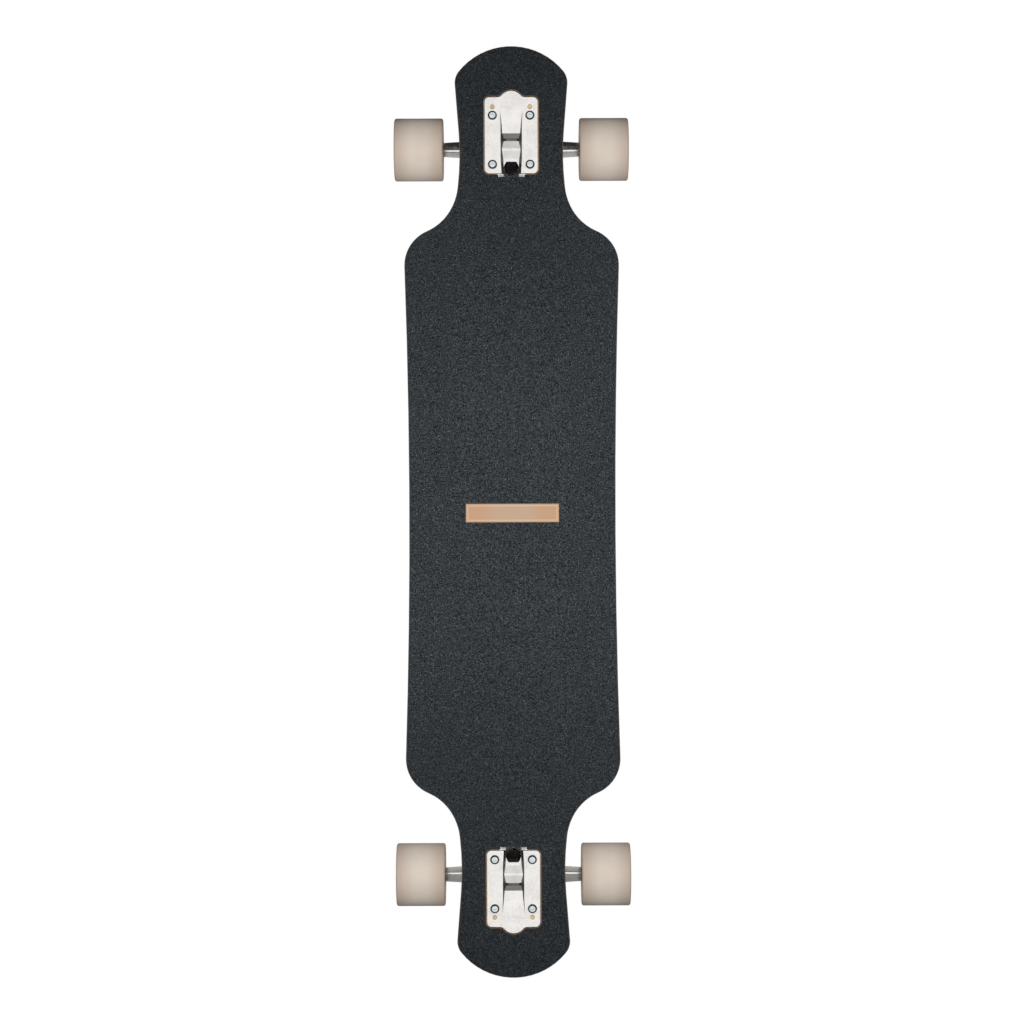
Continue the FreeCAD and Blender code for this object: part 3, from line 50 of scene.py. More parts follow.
PLY_THICKNESS = 0.00165
CROSS_PLY_EVERY = 3
DECK_TOP = 0.09408
PLATFORM_DROP = 0.008
DROP_REACH = (0.3, 0.36)
FLAT_HALF = 0.058
RAIL_RADIUS = 0.333
MAPLE_PALE = (0.60, 0.45, 0.275, 1)
MAPLE_DARK = (0.43, 0.285, 0.15, 1)
WARP_STRETCH = (22, 2.2, 22)
WARP_SHARE = 0.45
GROWTH_STRETCH = (260, 5, 120)
GROWTH_SHARE = 0.65
FIGURE_RANGE = (0.38, 0.75)
PORE_STRETCH = (1900, 60, 1900)
PORE_RANGE = (0.62, 0.8)
PORE_SHARE = 0.5
CROSS_PLY = (0.30, 0.165, 0.075, 1)
CROSS_SHARE = 0.75
GLUE_LINE = (0.10, 0.052, 0.022, 1)
GLUE_REACH = (0.02, 0.09)
GLUE_SHARE = 0.85
EDGE_TURN = (0.55, 0.9)
AMBER_TOP = (0.10, 0.053, 0.024, 1)
AMBER_DEPTH = (0.5, 0.8)
AMBER_SHARE = 0.85
PLATE_REACH = (0.04, 0.475)
FILED_RIM = (0.05, 0.038, 0.03, 1)
FILED_DEPTH = (1.2, 2.2)
FILED_SHARE = 0.95
UNEVEN_RANGE = (0.3, 0.7)


def set_inputs(node, inputs):
    """Sets plain values, and links sockets that come from other nodes."""
    tree = node.id_data
    for name, value in inputs.items():
        socket = node.inputs[name]
        if isinstance(value, bpy.types.NodeSocket):
            tree.links.new(value, socket)
        else:
            socket.default_value = value


def add(tree, kind, inputs, **settings):
    """Adds a shader node; the first output is handed back."""
    node = tree.nodes.new("ShaderNode" + kind)
    for name, value in settings.items():
        setattr(node, name, value)
    set_inputs(node, inputs)
    return node.outputs[0]


def calc(tree, operation, *values):
    """One sum with plain numbers."""
    return add(tree, "Math", dict(enumerate(values)), operation=operation)


def ramp(tree, value, start, end, first=0, last=1, kind="LINEAR"):
    """Goes from first to last while the value goes from start to end."""
    inputs = {"Value": value, "From Min": start, "From Max": end, "To Min": first, "To Max": last}
    return add(tree, "MapRange", inputs, interpolation_type=kind)


def noise(tree, place, scale, detail, roughness=0.5, distortion=0):
    """Cloudy noise, in blotches that are smaller as the scale is larger."""
    inputs = {"Vector": place, "Scale": scale, "Detail": detail}
    return add(tree, "TexNoise", {**inputs, "Roughness": roughness, "Distortion": distortion})


def blend_colours(tree, factor, first, second):
    """The first colour where the factor is 0 and the second where it is 1."""
    node = tree.nodes.new("ShaderNodeMix")
    node.data_type = "RGBA"
    for index, value in ((0, factor), (6, first), (7, second)):
        set_inputs(node, {index: value})
    return node.outputs[2]


def mapped(tree, place, scale):
    """The place stretched by a scale for each axis."""
    return add(tree, "Mapping", {"Vector": place, "Scale": scale})


def axes(tree, vector):
    """The three parts of a place or of a direction."""
    parts = tree.nodes.new("ShaderNodeSeparateXYZ")
    set_inputs(parts, {"Vector": vector})
    return parts.outputs


def facing(tree):
    """The three parts of the direction that the surface faces."""
    return axes(tree, tree.nodes["Texture Coordinate"].outputs["Normal"])


def new_finish(name, roughness, metallic=0.0):
    """A material with its Principled shader and the place on the piece, in metres."""
    material = bpy.data.materials.new(name)
    material.use_nodes = True
    tree = material.node_tree
    shader = tree.nodes["Principled BSDF"]
    set_inputs(shader, {"Roughness": roughness, "Metallic": metallic})
    coordinates = tree.nodes.new("ShaderNodeTexCoord")
    return material, tree, shader, coordinates.outputs["Object"]


def dress(material, *names):
    """Gives pieces of the board their finish."""
    for name in names:
        for slot in board[name].material_slots:
            slot.material = material


def new_group(name, inputs, outputs):
    """An effect that several finishes share; sockets are name and kind."""
    group = bpy.data.node_groups.new(name, "ShaderNodeTree")
    for socket, kind in inputs:
        group.interface.new_socket(socket, in_out="INPUT", socket_type="NodeSocket" + kind)
    for socket, kind in outputs:
        group.interface.new_socket(socket, in_out="OUTPUT", socket_type="NodeSocket" + kind)
    source = group.nodes.new("NodeGroupInput").outputs
    target = group.nodes.new("NodeGroupOutput")
    return group, source, target


def use_group(tree, group, inputs):
    """Places a shared effect in a finish, with values of its own."""
    node = tree.nodes.new("ShaderNodeGroup")
    node.node_tree = group
    set_inputs(node, inputs)
    return node.outputs


uneven, given, result = new_group(
    "uneven finish",
    [("Place", "Vector"), ("Scale", "Float"), ("Low", "Float"), ("High", "Float")],
    [("Value", "Float")],
)
cloud = noise(uneven, given["Place"], given["Scale"], detail=4, roughness=0.6)
spread = ramp(uneven, cloud, *UNEVEN_RANGE, first=given["Low"], last=given["High"])
set_inputs(result, {"Value": spread})


def roughness_of(tree, place, scale, low, high):
    """A value that wanders between low and high, as rubbed and clouded surfaces do."""
    return use_group(tree, uneven, {"Place": place, "Scale": scale, "Low": low, "High": high})["Value"]


def bump_of(tree, height, depth, normal=None):
    """Fine relief, which can lie over another one."""
    inputs = {"Height": height, "Distance": depth, "Strength": 1}
    if normal is not None:
        inputs["Normal"] = normal
    return add(tree, "Bump", inputs)


maple, tree, shader, place = new_finish("lacquered maple", 0.4)
across, along, height = axes(tree, place)
from_line = calc(tree, "ABSOLUTE", across)
from_middle = calc(tree, "ABSOLUTE", along)
drop = ramp(tree, from_middle, *DROP_REACH, first=PLATFORM_DROP, last=0, kind="SMOOTHSTEP")
past_flat = calc(tree, "MAXIMUM", calc(tree, "SUBTRACT", from_line, FLAT_HALF), 0)
rail = calc(tree, "DIVIDE", calc(tree, "MULTIPLY", past_flat, past_flat), 2 * RAIL_RADIUS)
depth = calc(tree, "ADD", calc(tree, "SUBTRACT", calc(tree, "SUBTRACT", DECK_TOP, height), drop), rail)
ply = calc(tree, "DIVIDE", depth, PLY_THICKNESS)
in_ply = calc(tree, "FRACT", ply)
crossed = calc(tree, "COMPARE", calc(tree, "MODULO", calc(tree, "FLOOR", ply), CROSS_PLY_EVERY), 1, 0.1)
from_glue = calc(tree, "MINIMUM", in_ply, calc(tree, "SUBTRACT", 1, in_ply))
glue = ramp(tree, from_glue, *GLUE_REACH, first=1, last=0)
warp = noise(tree, mapped(tree, place, WARP_STRETCH), scale=1, detail=3)
growth = noise(tree, mapped(tree, place, GROWTH_STRETCH), scale=1, detail=5, roughness=0.62, distortion=0.8)
pores = noise(tree, mapped(tree, place, PORE_STRETCH), scale=1, detail=2)
growth_part = calc(tree, "MULTIPLY", growth, GROWTH_SHARE)
warp_part = calc(tree, "MULTIPLY", warp, WARP_SHARE)
figure = calc(tree, "ADD", growth_part, warp_part)
face_wood = blend_colours(tree, ramp(tree, figure, *FIGURE_RANGE), MAPLE_PALE, MAPLE_DARK)
face_wood = blend_colours(tree, ramp(tree, pores, *PORE_RANGE, last=PORE_SHARE), face_wood, CROSS_PLY)
edge_wood = blend_colours(tree, calc(tree, "MULTIPLY", crossed, CROSS_SHARE), face_wood, CROSS_PLY)
edge_wood = blend_colours(tree, calc(tree, "MULTIPLY", glue, GLUE_SHARE), edge_wood, GLUE_LINE)
on_edge = ramp(tree, calc(tree, "ABSOLUTE", facing(tree)[2]), *EDGE_TURN, first=1, last=0)
wood = blend_colours(tree, on_edge, face_wood, edge_wood)
beside = calc(tree, "LESS_THAN", from_line, PLATE_REACH[0])
before = calc(tree, "LESS_THAN", from_middle, PLATE_REACH[1])
at_plates = calc(tree, "MULTIPLY", beside, before)
top_veneer = ramp(tree, ply, *AMBER_DEPTH, first=AMBER_SHARE, last=0)
top_wood = blend_colours(tree, calc(tree, "MULTIPLY", top_veneer, at_plates), wood, AMBER_TOP)
filed = ramp(tree, ply, *FILED_DEPTH, first=FILED_SHARE, last=0)
filed_rim = calc(tree, "MULTIPLY", filed, calc(tree, "SUBTRACT", 1, at_plates))
set_inputs(shader, {
    "Base Color": blend_colours(tree, filed_rim, top_wood, FILED_RIM),
    "Roughness": roughness_of(tree, place, scale=60, low=0.3, high=0.46),
    "Coat Weight": 0.25,
    "Coat Roughness": 0.2,
    "Normal": bump_of(tree, pores, depth=0.00006, normal=bump_of(tree, growth, depth=0.0001)),
})
dress(maple, "deck")

# Grip tape: black silicon carbide grit bonded to a film, stuck over the whole top and trimmed with a file
# just inside the edge, with windows cut round the two baseplates and the strip at the middle.
# Dust lies between the grains. The grit is painted darker toward the tips, a painted falloff of the
# softbox's light, and single crystals carry painted glints.

GRIT_DARK = (0.003, 0.004, 0.0047, 1)
GRIT_PALE = (0.0575, 0.066, 0.0725, 1)
GRIT_PAINTED_GLINT = (0.36, 0.395, 0.42, 1)
CLUMP_SCALE = 720
CLUMP_SHARE = 0.7
GRAIN_SCALE = 1500
GRAIN_SHARE = 0.3
SPECK_RANGE = (0.4, 0.63)
PAINTED_FALLOFF_REACH = (0.1, 0.5)
PAINTED_LIGHT_AT_TIPS = 0.45
CRYSTAL_SCALE = 560
CRYSTAL_REACH = (0.1, 0.3)
GLINT_RANGE = (0.35, 1)
GLINT_SHARE = 0.6

grip, tree, shader, place = new_finish("black grit", 0.85)
clumps = noise(tree, place, CLUMP_SCALE, detail=2, roughness=0.6)
grains = noise(tree, place, GRAIN_SCALE, detail=2, roughness=0.7)
clump_part = calc(tree, "MULTIPLY", clumps, CLUMP_SHARE)
grain_part = calc(tree, "MULTIPLY", grains, GRAIN_SHARE)
lumps = calc(tree, "ADD", clump_part, grain_part)
speck = ramp(tree, lumps, *SPECK_RANGE)
from_middle = calc(tree, "ABSOLUTE", axes(tree, place)[1])
# painted light: the grit darkens toward the tips, as if the softbox's light fell off there, with a little
# random tone
painted_falloff = ramp(tree, from_middle, *PAINTED_FALLOFF_REACH, first=1, last=PAINTED_LIGHT_AT_TIPS)
painted_falloff_and_tone = calc(tree, "MULTIPLY", painted_falloff, roughness_of(tree, place, scale=7, low=0.94, high=1.06))
# painted glints: pale specks in the base colour stand in for crystals catching the light
crystals = tree.nodes.new("ShaderNodeTexVoronoi")
set_inputs(crystals, {"Vector": place, "Scale": CRYSTAL_SCALE})
in_crystal = ramp(tree, crystals.outputs[0], *CRYSTAL_REACH, first=1, last=0)
lot = add(tree, "SeparateColor", {0: crystals.outputs[1]})
shine = ramp(tree, lot, *GLINT_RANGE, last=GLINT_SHARE)
painted_glint = calc(tree, "MULTIPLY", calc(tree, "MULTIPLY", in_crystal, shine), painted_falloff_and_tone)
black = blend_colours(tree, calc(tree, "MULTIPLY", speck, painted_falloff_and_tone), GRIT_DARK, GRIT_PALE)
set_inputs(shader, {
    "Base Color": blend_colours(tree, painted_glint, black, GRIT_PAINTED_GLINT),
    "Roughness": roughness_of(tree, place, GRAIN_SCALE, low=0.65, high=0.95),
    "Specular IOR Level": 0.25,
    "Normal": bump_of(tree, lumps, depth=0.0005),
})
dress(grip, "grip_tape")

# Strip at the middle: a thin printed label in copper tan, laid in its own window of the grip.
# It is left bare, with only a plain line round it.

STRIP_LENGTH = 0.1026
STRIP_WIDTH = 0.0202
STRIP_SHIFT = 0.0011
STRIP_TAN = (0.46, 0.28, 0.172, 1)
STRIP_PALE = (0.45, 0.315, 0.225, 1)
STRIP_LINE = (0.68, 0.545, 0.41, 1)
PALE_REACH = (0.018, 0.034)
LINE_INSET = 0.0022
LINE_HALF = 0.00035
LINE_SHARE = 0.7
BRUSH_STRETCH = (40, 1500, 40)
BRUSH_SHARE = 0.35

strip, tree, shader, place = new_finish("copper tan strip", 0.45)
strip_along, strip_across, _ = axes(tree, place)
from_end = calc(tree, "SUBTRACT", STRIP_LENGTH / 2, calc(tree, "ABSOLUTE", strip_along))
strip_across = calc(tree, "ADD", strip_across, STRIP_SHIFT)
from_side = calc(tree, "SUBTRACT", STRIP_WIDTH / 2, calc(tree, "ABSOLUTE", strip_across))
rim_line = calc(tree, "COMPARE", calc(tree, "MINIMUM", from_end, from_side), LINE_INSET, LINE_HALF)
brushed = noise(tree, mapped(tree, place, BRUSH_STRETCH), scale=1, detail=3)
field = blend_colours(tree, ramp(tree, from_end, *PALE_REACH), STRIP_TAN, STRIP_PALE)
field = blend_colours(tree, calc(tree, "MULTIPLY", brushed, BRUSH_SHARE), field, STRIP_TAN)
set_inputs(shader, {
    "Base Color": blend_colours(tree, calc(tree, "MULTIPLY", rim_line, LINE_SHARE), field, STRIP_LINE),
    "Roughness": roughness_of(tree, place, scale=300, low=0.35, high=0.55),
    "Normal": bump_of(tree, brushed, depth=0.00003),
})
dress(strip, "grip_inlay")

# Baseplates and hangers: cast aluminium, the plates tumbled bright and pitted, the hangers polished.
# Painted shade darkens the trough's groove, its slopes and the tongue beyond the plate, but the slope that
# faces the tip is left lighter and keeps a matte skin.
# The baseplate drops through the deck, and the hanger swings in it on its bushings and pivot.

CAST_BRIGHT = (0.945, 0.92, 0.89, 1)
CAST_GREY = (0.66, 0.645, 0.63, 1)
CAST_PIT = (0.40, 0.39, 0.385, 1)
CAST_PAINTED_SHADE = (0.15, 0.147, 0.145, 1)
SKIN_SCALE = 1400
PATCH_SCALE = 90
PATCH_RANGE = (0.42, 0.72)
PATCH_SHARE = 0.4
PIT_SCALE = 650
PIT_REACH = (0.05, 0.2)
PIT_SHARE = 0.55
TRUCK_STATION = 0.4094
TROUGH_SHIFT = 0.0037
TROUGH_LEVEL = 0.0905
TROUGH_MIDDLE = (0, TRUCK_STATION - TROUGH_SHIFT, TROUGH_LEVEL)
TROUGH_HALF = (0.0125, 0.0378, 0.0044)
SLOPE_TURN = (0.95, 0.99)
SLOPE_SHARE = 0.9
TIP_SLOPE_TURN = (0.15, 0.3)
TIP_SLOPE_SHADE = 0.1
MATTE_SHARE = 0.72
GROOVE_TOP = 0.0904
GROOVE_BLEND = 0.002
GROOVE_SHARE = 0.95
TONGUE_START = 0.3712
TONGUE_SHARE = 0.55


def cast_aluminium(name, low, high, relief):
    """Bright cast metal, pitted, with painted shade darkening the trough's slopes, its groove and the
    tongue.
    """
    cast, tree, shader, place = new_finish(name, high, 1.0)
    skin = noise(tree, place, SKIN_SCALE, detail=4, roughness=0.65)
    patches = ramp(tree, noise(tree, place, PATCH_SCALE, detail=4), *PATCH_RANGE, last=PATCH_SHARE)
    pits = add(tree, "TexVoronoi", {"Vector": place, "Scale": PIT_SCALE})
    metal = blend_colours(tree, patches, CAST_BRIGHT, CAST_GREY)
    metal = blend_colours(tree, ramp(tree, pits, *PIT_REACH, first=PIT_SHARE, last=0), metal, CAST_PIT)

    folded = add(tree, "VectorMath", {0: place}, operation="ABSOLUTE")
    centred = add(tree, "VectorMath", {0: folded, 1: TROUGH_MIDDLE}, operation="SUBTRACT")
    spans = add(tree, "VectorMath", {0: centred}, operation="ABSOLUTE")
    shares = add(tree, "VectorMath", {0: spans, 1: TROUGH_HALF}, operation="DIVIDE")
    share_x, share_y, share_z = axes(tree, shares)
    widest = calc(tree, "MAXIMUM", calc(tree, "MAXIMUM", share_x, share_y), share_z)
    in_trough = calc(tree, "LESS_THAN", widest, 1)

    _, along, height = axes(tree, place)
    _, face_along, face_up = facing(tree)
    # painted shade: the trough's slopes and groove are darkened, the slope facing the tip much less
    toward_tip = calc(tree, "MULTIPLY", face_along, calc(tree, "SIGN", along))
    shade_by_facing = ramp(tree, toward_tip, *TIP_SLOPE_TURN, first=1, last=TIP_SLOPE_SHADE)
    slopes = ramp(tree, face_up, *SLOPE_TURN, first=SLOPE_SHARE, last=0)
    slopes = calc(tree, "MULTIPLY", slopes, shade_by_facing)
    groove = ramp(tree, height, GROOVE_TOP - GROOVE_BLEND, GROOVE_TOP, first=GROOVE_SHARE, last=0)
    painted_shade = calc(tree, "MULTIPLY", in_trough, calc(tree, "MAXIMUM", slopes, groove))

    # painted shade: the tongue, lower than the plate, is darkened too
    on_tongue = calc(tree, "LESS_THAN", calc(tree, "ABSOLUTE", along), TONGUE_START)
    upper = calc(tree, "GREATER_THAN", height, TROUGH_LEVEL)
    shaded_tongue = calc(tree, "MULTIPLY", calc(tree, "MULTIPLY", on_tongue, upper), TONGUE_SHARE)
    painted_shade = calc(tree, "MAXIMUM", painted_shade, shaded_tongue)
    matte = calc(tree, "MULTIPLY", in_trough, calc(tree, "SUBTRACT", 1, shade_by_facing))
    set_inputs(shader, {
        "Base Color": blend_colours(tree, painted_shade, metal, CAST_PAINTED_SHADE),
        "Metallic": calc(tree, "SUBTRACT", 1, calc(tree, "MULTIPLY", matte, MATTE_SHARE)),
        "Roughness": roughness_of(tree, place, 420, low, high),
        "Normal": bump_of(tree, pits, relief, bump_of(tree, skin, relief)),
    })
    return cast


tumbled_cast = cast_aluminium("tumbled cast aluminium", low=0.3, high=0.5, relief=0.00008)
polished_cast = cast_aluminium("polished cast aluminium", low=0.16, high=0.28, relief=0.00002)
dress(tumbled_cast, "front_baseplate", "rear_baseplate")
dress(polished_cast, "front_hanger", "rear_hanger")

# Bolts, nuts and washers: cold-formed steel with bright, slightly blue zinc plate.
# Four bolts and lock nuts clamp each baseplate to the deck, and one nut closes each kingpin and axle end.
# The flanks of the bolt heads are darkened with painted shade.

ENDS = {"front": 1, "rear": -1}
PLATED = (
    "mounting_bolts", "mounting_nuts", "kingpin_nut", "axle_nuts", "axle_washers",
    "upper_bushing_washer", "lower_bushing_washer",
)
ZINC_BRIGHT = (0.78, 0.85, 0.87, 1)
ZINC_DULL = (0.54, 0.60, 0.62, 1)
DULL_RANGE = (0.4, 0.7)
HANDLING_STRETCH = (700, 3000, 1400)
HEAD_PAINTED_SHADE = (0.12, 0.13, 0.135, 1)
HEAD_FOOT = 0.094
FLANK_TURN = (0.75, 0.95)
FLANK_SHARE = 0.85

zinc, tree, shader, place = new_finish("bright zinc plate", 0.25, 1.0)
dulled = ramp(tree, noise(tree, place, scale=500, detail=4), *DULL_RANGE)
handling = noise(tree, mapped(tree, place, HANDLING_STRETCH), scale=1, detail=2)
# painted shade: the steep flanks of the bolt heads above the deck are darkened
flank = ramp(tree, facing(tree)[2], *FLANK_TURN, first=FLANK_SHARE, last=0)
painted_dark_flank = calc(tree, "MULTIPLY", flank, calc(tree, "GREATER_THAN", axes(tree, place)[2], HEAD_FOOT))
plated = blend_colours(tree, dulled, ZINC_BRIGHT, ZINC_DULL)
set_inputs(shader, {
    "Base Color": blend_colours(tree, painted_dark_flank, plated, HEAD_PAINTED_SHADE),
    "Roughness": roughness_of(tree, place, scale=900, low=0.16, high=0.36),
    "Normal": bump_of(tree, handling, depth=0.00003),
})
for end in ENDS:
    for piece in PLATED:
        dress(zinc, f"{end}_{piece}")

# Bolt threads: rolled into each mounting bolt's end, where it stands out of its lock nut under the deck.
# One ridge is wound up, and the other bolts carry copies of it.

BOLT_RADIUS = 0.00238
BOLT_PITCH = 0.0008
BOLT_END = 0.0755
NUT_END = 0.07756
BOLT_HALF_WIDTH = 0.02064
BOLT_HALF_LENGTH = 0.02699
RIDGE_SIDES = 4
RIDGE_SHARE = 0.42
RIDGE_SUNK = 0.3
STEPS_A_TURN = 28
FEWEST_STEPS = 24
SHARPEST_SMOOTHED = math.radians(35)


def clear_selection():
    """Lets go of every piece."""
    bpy.ops.object.select_all(action="DESELECT")


def smooth():
    """Shades the piece in hand smooth, but for its sharp edges."""
    bpy.ops.object.shade_smooth_by_angle(angle=SHARPEST_SMOOTHED)


def wound_thread(radius, pitch, length):
    """A ridge wound round a bolt that stands on its end at the origin."""
    crest = pitch * RIDGE_SHARE
    clear_selection()
    bpy.ops.mesh.primitive_circle_add(
        vertices=RIDGE_SIDES,
        radius=crest,
        location=(radius - crest * RIDGE_SUNK, 0, crest),
        rotation=(math.pi / 2, 0, 0),
    )
    ridge = bpy.context.object
    bpy.ops.object.transform_apply(location=True, rotation=True, scale=True)
    rise = length - 2 * crest
    bpy.ops.object.modifier_add(type="SCREW")
    winding = ridge.modifiers[-1]
    winding.angle = 2 * math.pi * rise / pitch
    winding.screw_offset = rise
    winding.steps = winding.render_steps = max(FEWEST_STEPS, round(STEPS_A_TURN * rise / pitch))
    bpy.ops.object.modifier_apply(modifier=winding.name)
    bpy.ops.object.mode_set(mode="EDIT")
    bpy.ops.mesh.select_all(action="SELECT")
    bpy.ops.mesh.fill_holes(sides=RIDGE_SIDES)
    bpy.ops.mesh.select_all(action="SELECT")
    bpy.ops.mesh.normals_make_consistent(inside=False)
    bpy.ops.object.mode_set(mode="OBJECT")
    smooth()
    return ridge


def set_in(name, model, finish, places):
    """Copies with meshes of their own, set in at each place and turn, as one piece."""
    clear_selection()
    for spot, turn in places:
        copy = model.copy()
        copy.data = model.data.copy()
        bpy.context.collection.objects.link(copy)
        copy.location = spot
        copy.rotation_euler = turn
        copy.select_set(True)
        bpy.context.view_layer.objects.active = copy
    bpy.ops.object.transform_apply(location=True, rotation=True, scale=True)
    if len(places) > 1:
        bpy.ops.object.join()
    whole = bpy.context.object
    whole.name = name
    whole.data.materials.clear()
    whole.data.materials.append(finish)
    return whole


def bolt_spots(sign, height):
    """The places of something on the four bolts of one truck."""
    spots = []
    for x in (BOLT_HALF_WIDTH, -BOLT_HALF_WIDTH):
        for y in (BOLT_HALF_LENGTH, -BOLT_HALF_LENGTH):
            spots.append(((x, sign * (TRUCK_STATION + y), height), (0, 0, 0)))
    return spots


bolt_thread = wound_thread(BOLT_RADIUS, BOLT_PITCH, NUT_END - BOLT_END)
for end, sign in ENDS.items():
    threads = set_in(f"{end}_bolt_threads", bolt_thread, zinc, bolt_spots(sign, BOLT_END))
    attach(threads, "deck")
bpy.data.objects.remove(bolt_thread)

# Nylon rings: pressed into the collar of every lock nut, so that the thread cuts its own grip in them.
# They stand a little proud of the collar, off-white and slightly waxy.

NYLON_PALE = (0.70, 0.71, 0.68, 1)
NYLON_STAINED = (0.52, 0.52, 0.48, 1)
RING_PROUD = 0.00025
RING_HEIGHT = 0.0005
RING_SIDES = 40
BOLT_RING_BORE = 0.00245
BOLT_RING_RADIUS = 0.0035

nylon, tree, shader, place = new_finish("nylon", 0.45)
stained = noise(tree, place, scale=600, detail=4)
set_inputs(shader, {
    "Base Color": blend_colours(tree, stained, NYLON_PALE, NYLON_STAINED),
    "Roughness": roughness_of(tree, place, scale=900, low=0.36, high=0.55),
    "Normal": bump_of(tree, stained, depth=0.00004),
})


def nylon_ring(inner, outer):
    """A ring lying at the origin, its edges eased."""
    clear_selection()
    bpy.ops.mesh.primitive_circle_add(vertices=RING_SIDES, radius=inner, location=(0, 0, 0))
    ring = bpy.context.object
    bpy.ops.object.mode_set(mode="EDIT")
    bpy.ops.mesh.select_all(action="SELECT")
    bpy.ops.mesh.extrude_edges_move()
    bpy.ops.transform.resize(value=(outer / inner, outer / inner, 1), center_override=(0, 0, 0))
    bpy.ops.mesh.select_all(action="SELECT")
    bpy.ops.mesh.extrude_region_move(TRANSFORM_OT_translate={"value": (0, 0, RING_HEIGHT)})
    bpy.ops.mesh.select_all(action="SELECT")
    bpy.ops.mesh.normals_make_consistent(inside=False)
    bpy.ops.object.mode_set(mode="OBJECT")
    bpy.ops.object.modifier_add(type="BEVEL")
    eased = ring.modifiers[-1]
    eased.width = RING_PROUD / 2
    eased.segments = 2
    bpy.ops.object.modifier_apply(modifier=eased.name)
    smooth()
    return ring


bolt_ring = nylon_ring(BOLT_RING_BORE, BOLT_RING_RADIUS)
for end, sign in ENDS.items():
    rings = set_in(f"{end}_bolt_nylon", bolt_ring, nylon, bolt_spots(sign, NUT_END - RING_PROUD))
    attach(rings, "deck")
bpy.data.objects.remove(bolt_ring)

# Kingpins: forged steel bolts with a black oxide skin, dropped through the baseplate from above.
# The oxide is rubbed back to grey steel where a socket has turned the head.
# The thread at the lower end stands out of the lock nut and its nylon ring.

OXIDE = (0.012, 0.012, 0.013, 1)
OXIDE_RUBBED = (0.10, 0.10, 0.105, 1)
RUBBED_RANGE = (0.58, 0.8)
KINGPIN_LEAN = math.radians(50)
KINGPIN_RADIUS = 0.00475
KINGPIN_PITCH = 0.00106
KINGPIN_END = -0.033
KINGPIN_NUT_END = -0.02804
KINGPIN_RING_BORE = 0.00485
KINGPIN_RING_RADIUS = 0.006
HANGER_RING_STATION = 0.4059
HANGER_RING_LEVEL = 0.0654

oxide, tree, shader, place = new_finish("black oxide", 0.4, 0.6)
rubbing = noise(tree, place, scale=320, detail=5, roughness=0.7)
rubbed = ramp(tree, rubbing, *RUBBED_RANGE)
set_inputs(shader, {
    "Base Color": blend_colours(tree, rubbed, OXIDE, OXIDE_RUBBED),
    "Roughness": roughness_of(tree, place, scale=600, low=0.3, high=0.5),
    "Normal": bump_of(tree, rubbing, depth=0.00006),
})
dress(oxide, "front_kingpin", "rear_kingpin")


def on_kingpin(sign, up):
    """The place and turn of something that stands on the leaning kingpin."""
    y = HANGER_RING_STATION - up * math.sin(KINGPIN_LEAN)
    z = HANGER_RING_LEVEL + up * math.cos(KINGPIN_LEAN)
    return [((0, sign * y, z), (KINGPIN_LEAN, 0, 0 if sign > 0 else math.pi))]


pin_thread = wound_thread(KINGPIN_RADIUS, KINGPIN_PITCH, KINGPIN_NUT_END - KINGPIN_END)
pin_ring = nylon_ring(KINGPIN_RING_BORE, KINGPIN_RING_RADIUS)
for end, sign in ENDS.items():
    thread = set_in(f"{end}_kingpin_thread", pin_thread, oxide, on_kingpin(sign, KINGPIN_END))
    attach(thread, "deck")
    ring = set_in(f"{end}_kingpin_nylon", pin_ring, nylon, on_kingpin(sign, KINGPIN_NUT_END - RING_PROUD))
    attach(ring, "deck")
bpy.data.objects.remove(pin_thread)
bpy.data.objects.remove(pin_ring)

# Bushings and pivot cups: urethane cast in moulds, black and a little waxy.
# The two bushings on each kingpin squeeze the hanger's ring between them and let it lean.
# Each is turned with even steps along its section, so that it can bend.

BUSHING_BLACK = (0.022, 0.022, 0.025, 1)
BUSHING_BLOOM = (0.075, 0.075, 0.08, 1)
BLOOM_RANGE = (0.45, 0.75)
BUSHING_BORE = 0.0066
BUSHING_RADIUS = 0.0126
BUSHING_BEVEL = 0.0012
BUSHING_SIDES = 72
BUSHING_STEP = 0.0007
SEAM_REACH = 0.00001
BOARDSIDE = (0.00602, 0.02098)
BOARDSIDE_SHOULDER = 0.003
ROADSIDE = (-0.00602, -0.018)
ROADSIDE_TAPER = 0.0028

soft_black, tree, shader, place = new_finish("black urethane", 0.5)
bloom = noise(tree, place, scale=140, detail=5, roughness=0.6)
bloomed = ramp(tree, bloom, *BLOOM_RANGE)
set_inputs(shader, {
    "Base Color": blend_colours(tree, bloomed, BUSHING_BLACK, BUSHING_BLOOM),
    "Roughness": roughness_of(tree, place, scale=300, low=0.38, high=0.6),
    "Normal": bump_of(tree, bloom, depth=0.0001),
})
dress(soft_black, "front_pivot_cup", "rear_pivot_cup")


def stepped(corners):
    """The corners of a section with even steps between them, so that the piece can bend."""
    section = [corners[0]]
    for (r1, z1), (r2, z2) in zip(corners, corners[1:]):
        count = max(1, math.ceil(math.hypot(r2 - r1, z2 - z1) / BUSHING_STEP))
        for step in range(1, count + 1):
            section.append((r1 + (r2 - r1) * step / count, z1 + (z2 - z1) * step / count))
    return section


def turned_bushing(corners):
    """A ring turned about the kingpin's line from its section's radii and heights."""
    section = stepped(corners)
    radius, height = section[0]
    clear_selection()
    bpy.ops.mesh.primitive_circle_add(vertices=BUSHING_SIDES, radius=radius, location=(0, 0, height))
    bushing = bpy.context.object
    bpy.ops.object.transform_apply(location=True, rotation=True, scale=True)
    bpy.ops.object.mode_set(mode="EDIT")
    bpy.ops.mesh.select_all(action="SELECT")
    for next_radius, next_height in section[1:]:
        bpy.ops.mesh.extrude_edges_move(TRANSFORM_OT_translate={"value": (0, 0, next_height - height)})
        grow = next_radius / radius
        bpy.ops.transform.resize(value=(grow, grow, 1), center_override=(0, 0, next_height))
        radius, height = next_radius, next_height
    bpy.ops.mesh.select_all(action="SELECT")
    bpy.ops.mesh.remove_doubles(threshold=SEAM_REACH)
    bpy.ops.mesh.normals_make_consistent(inside=False)
    bpy.ops.object.mode_set(mode="OBJECT")
    smooth()
    return bushing


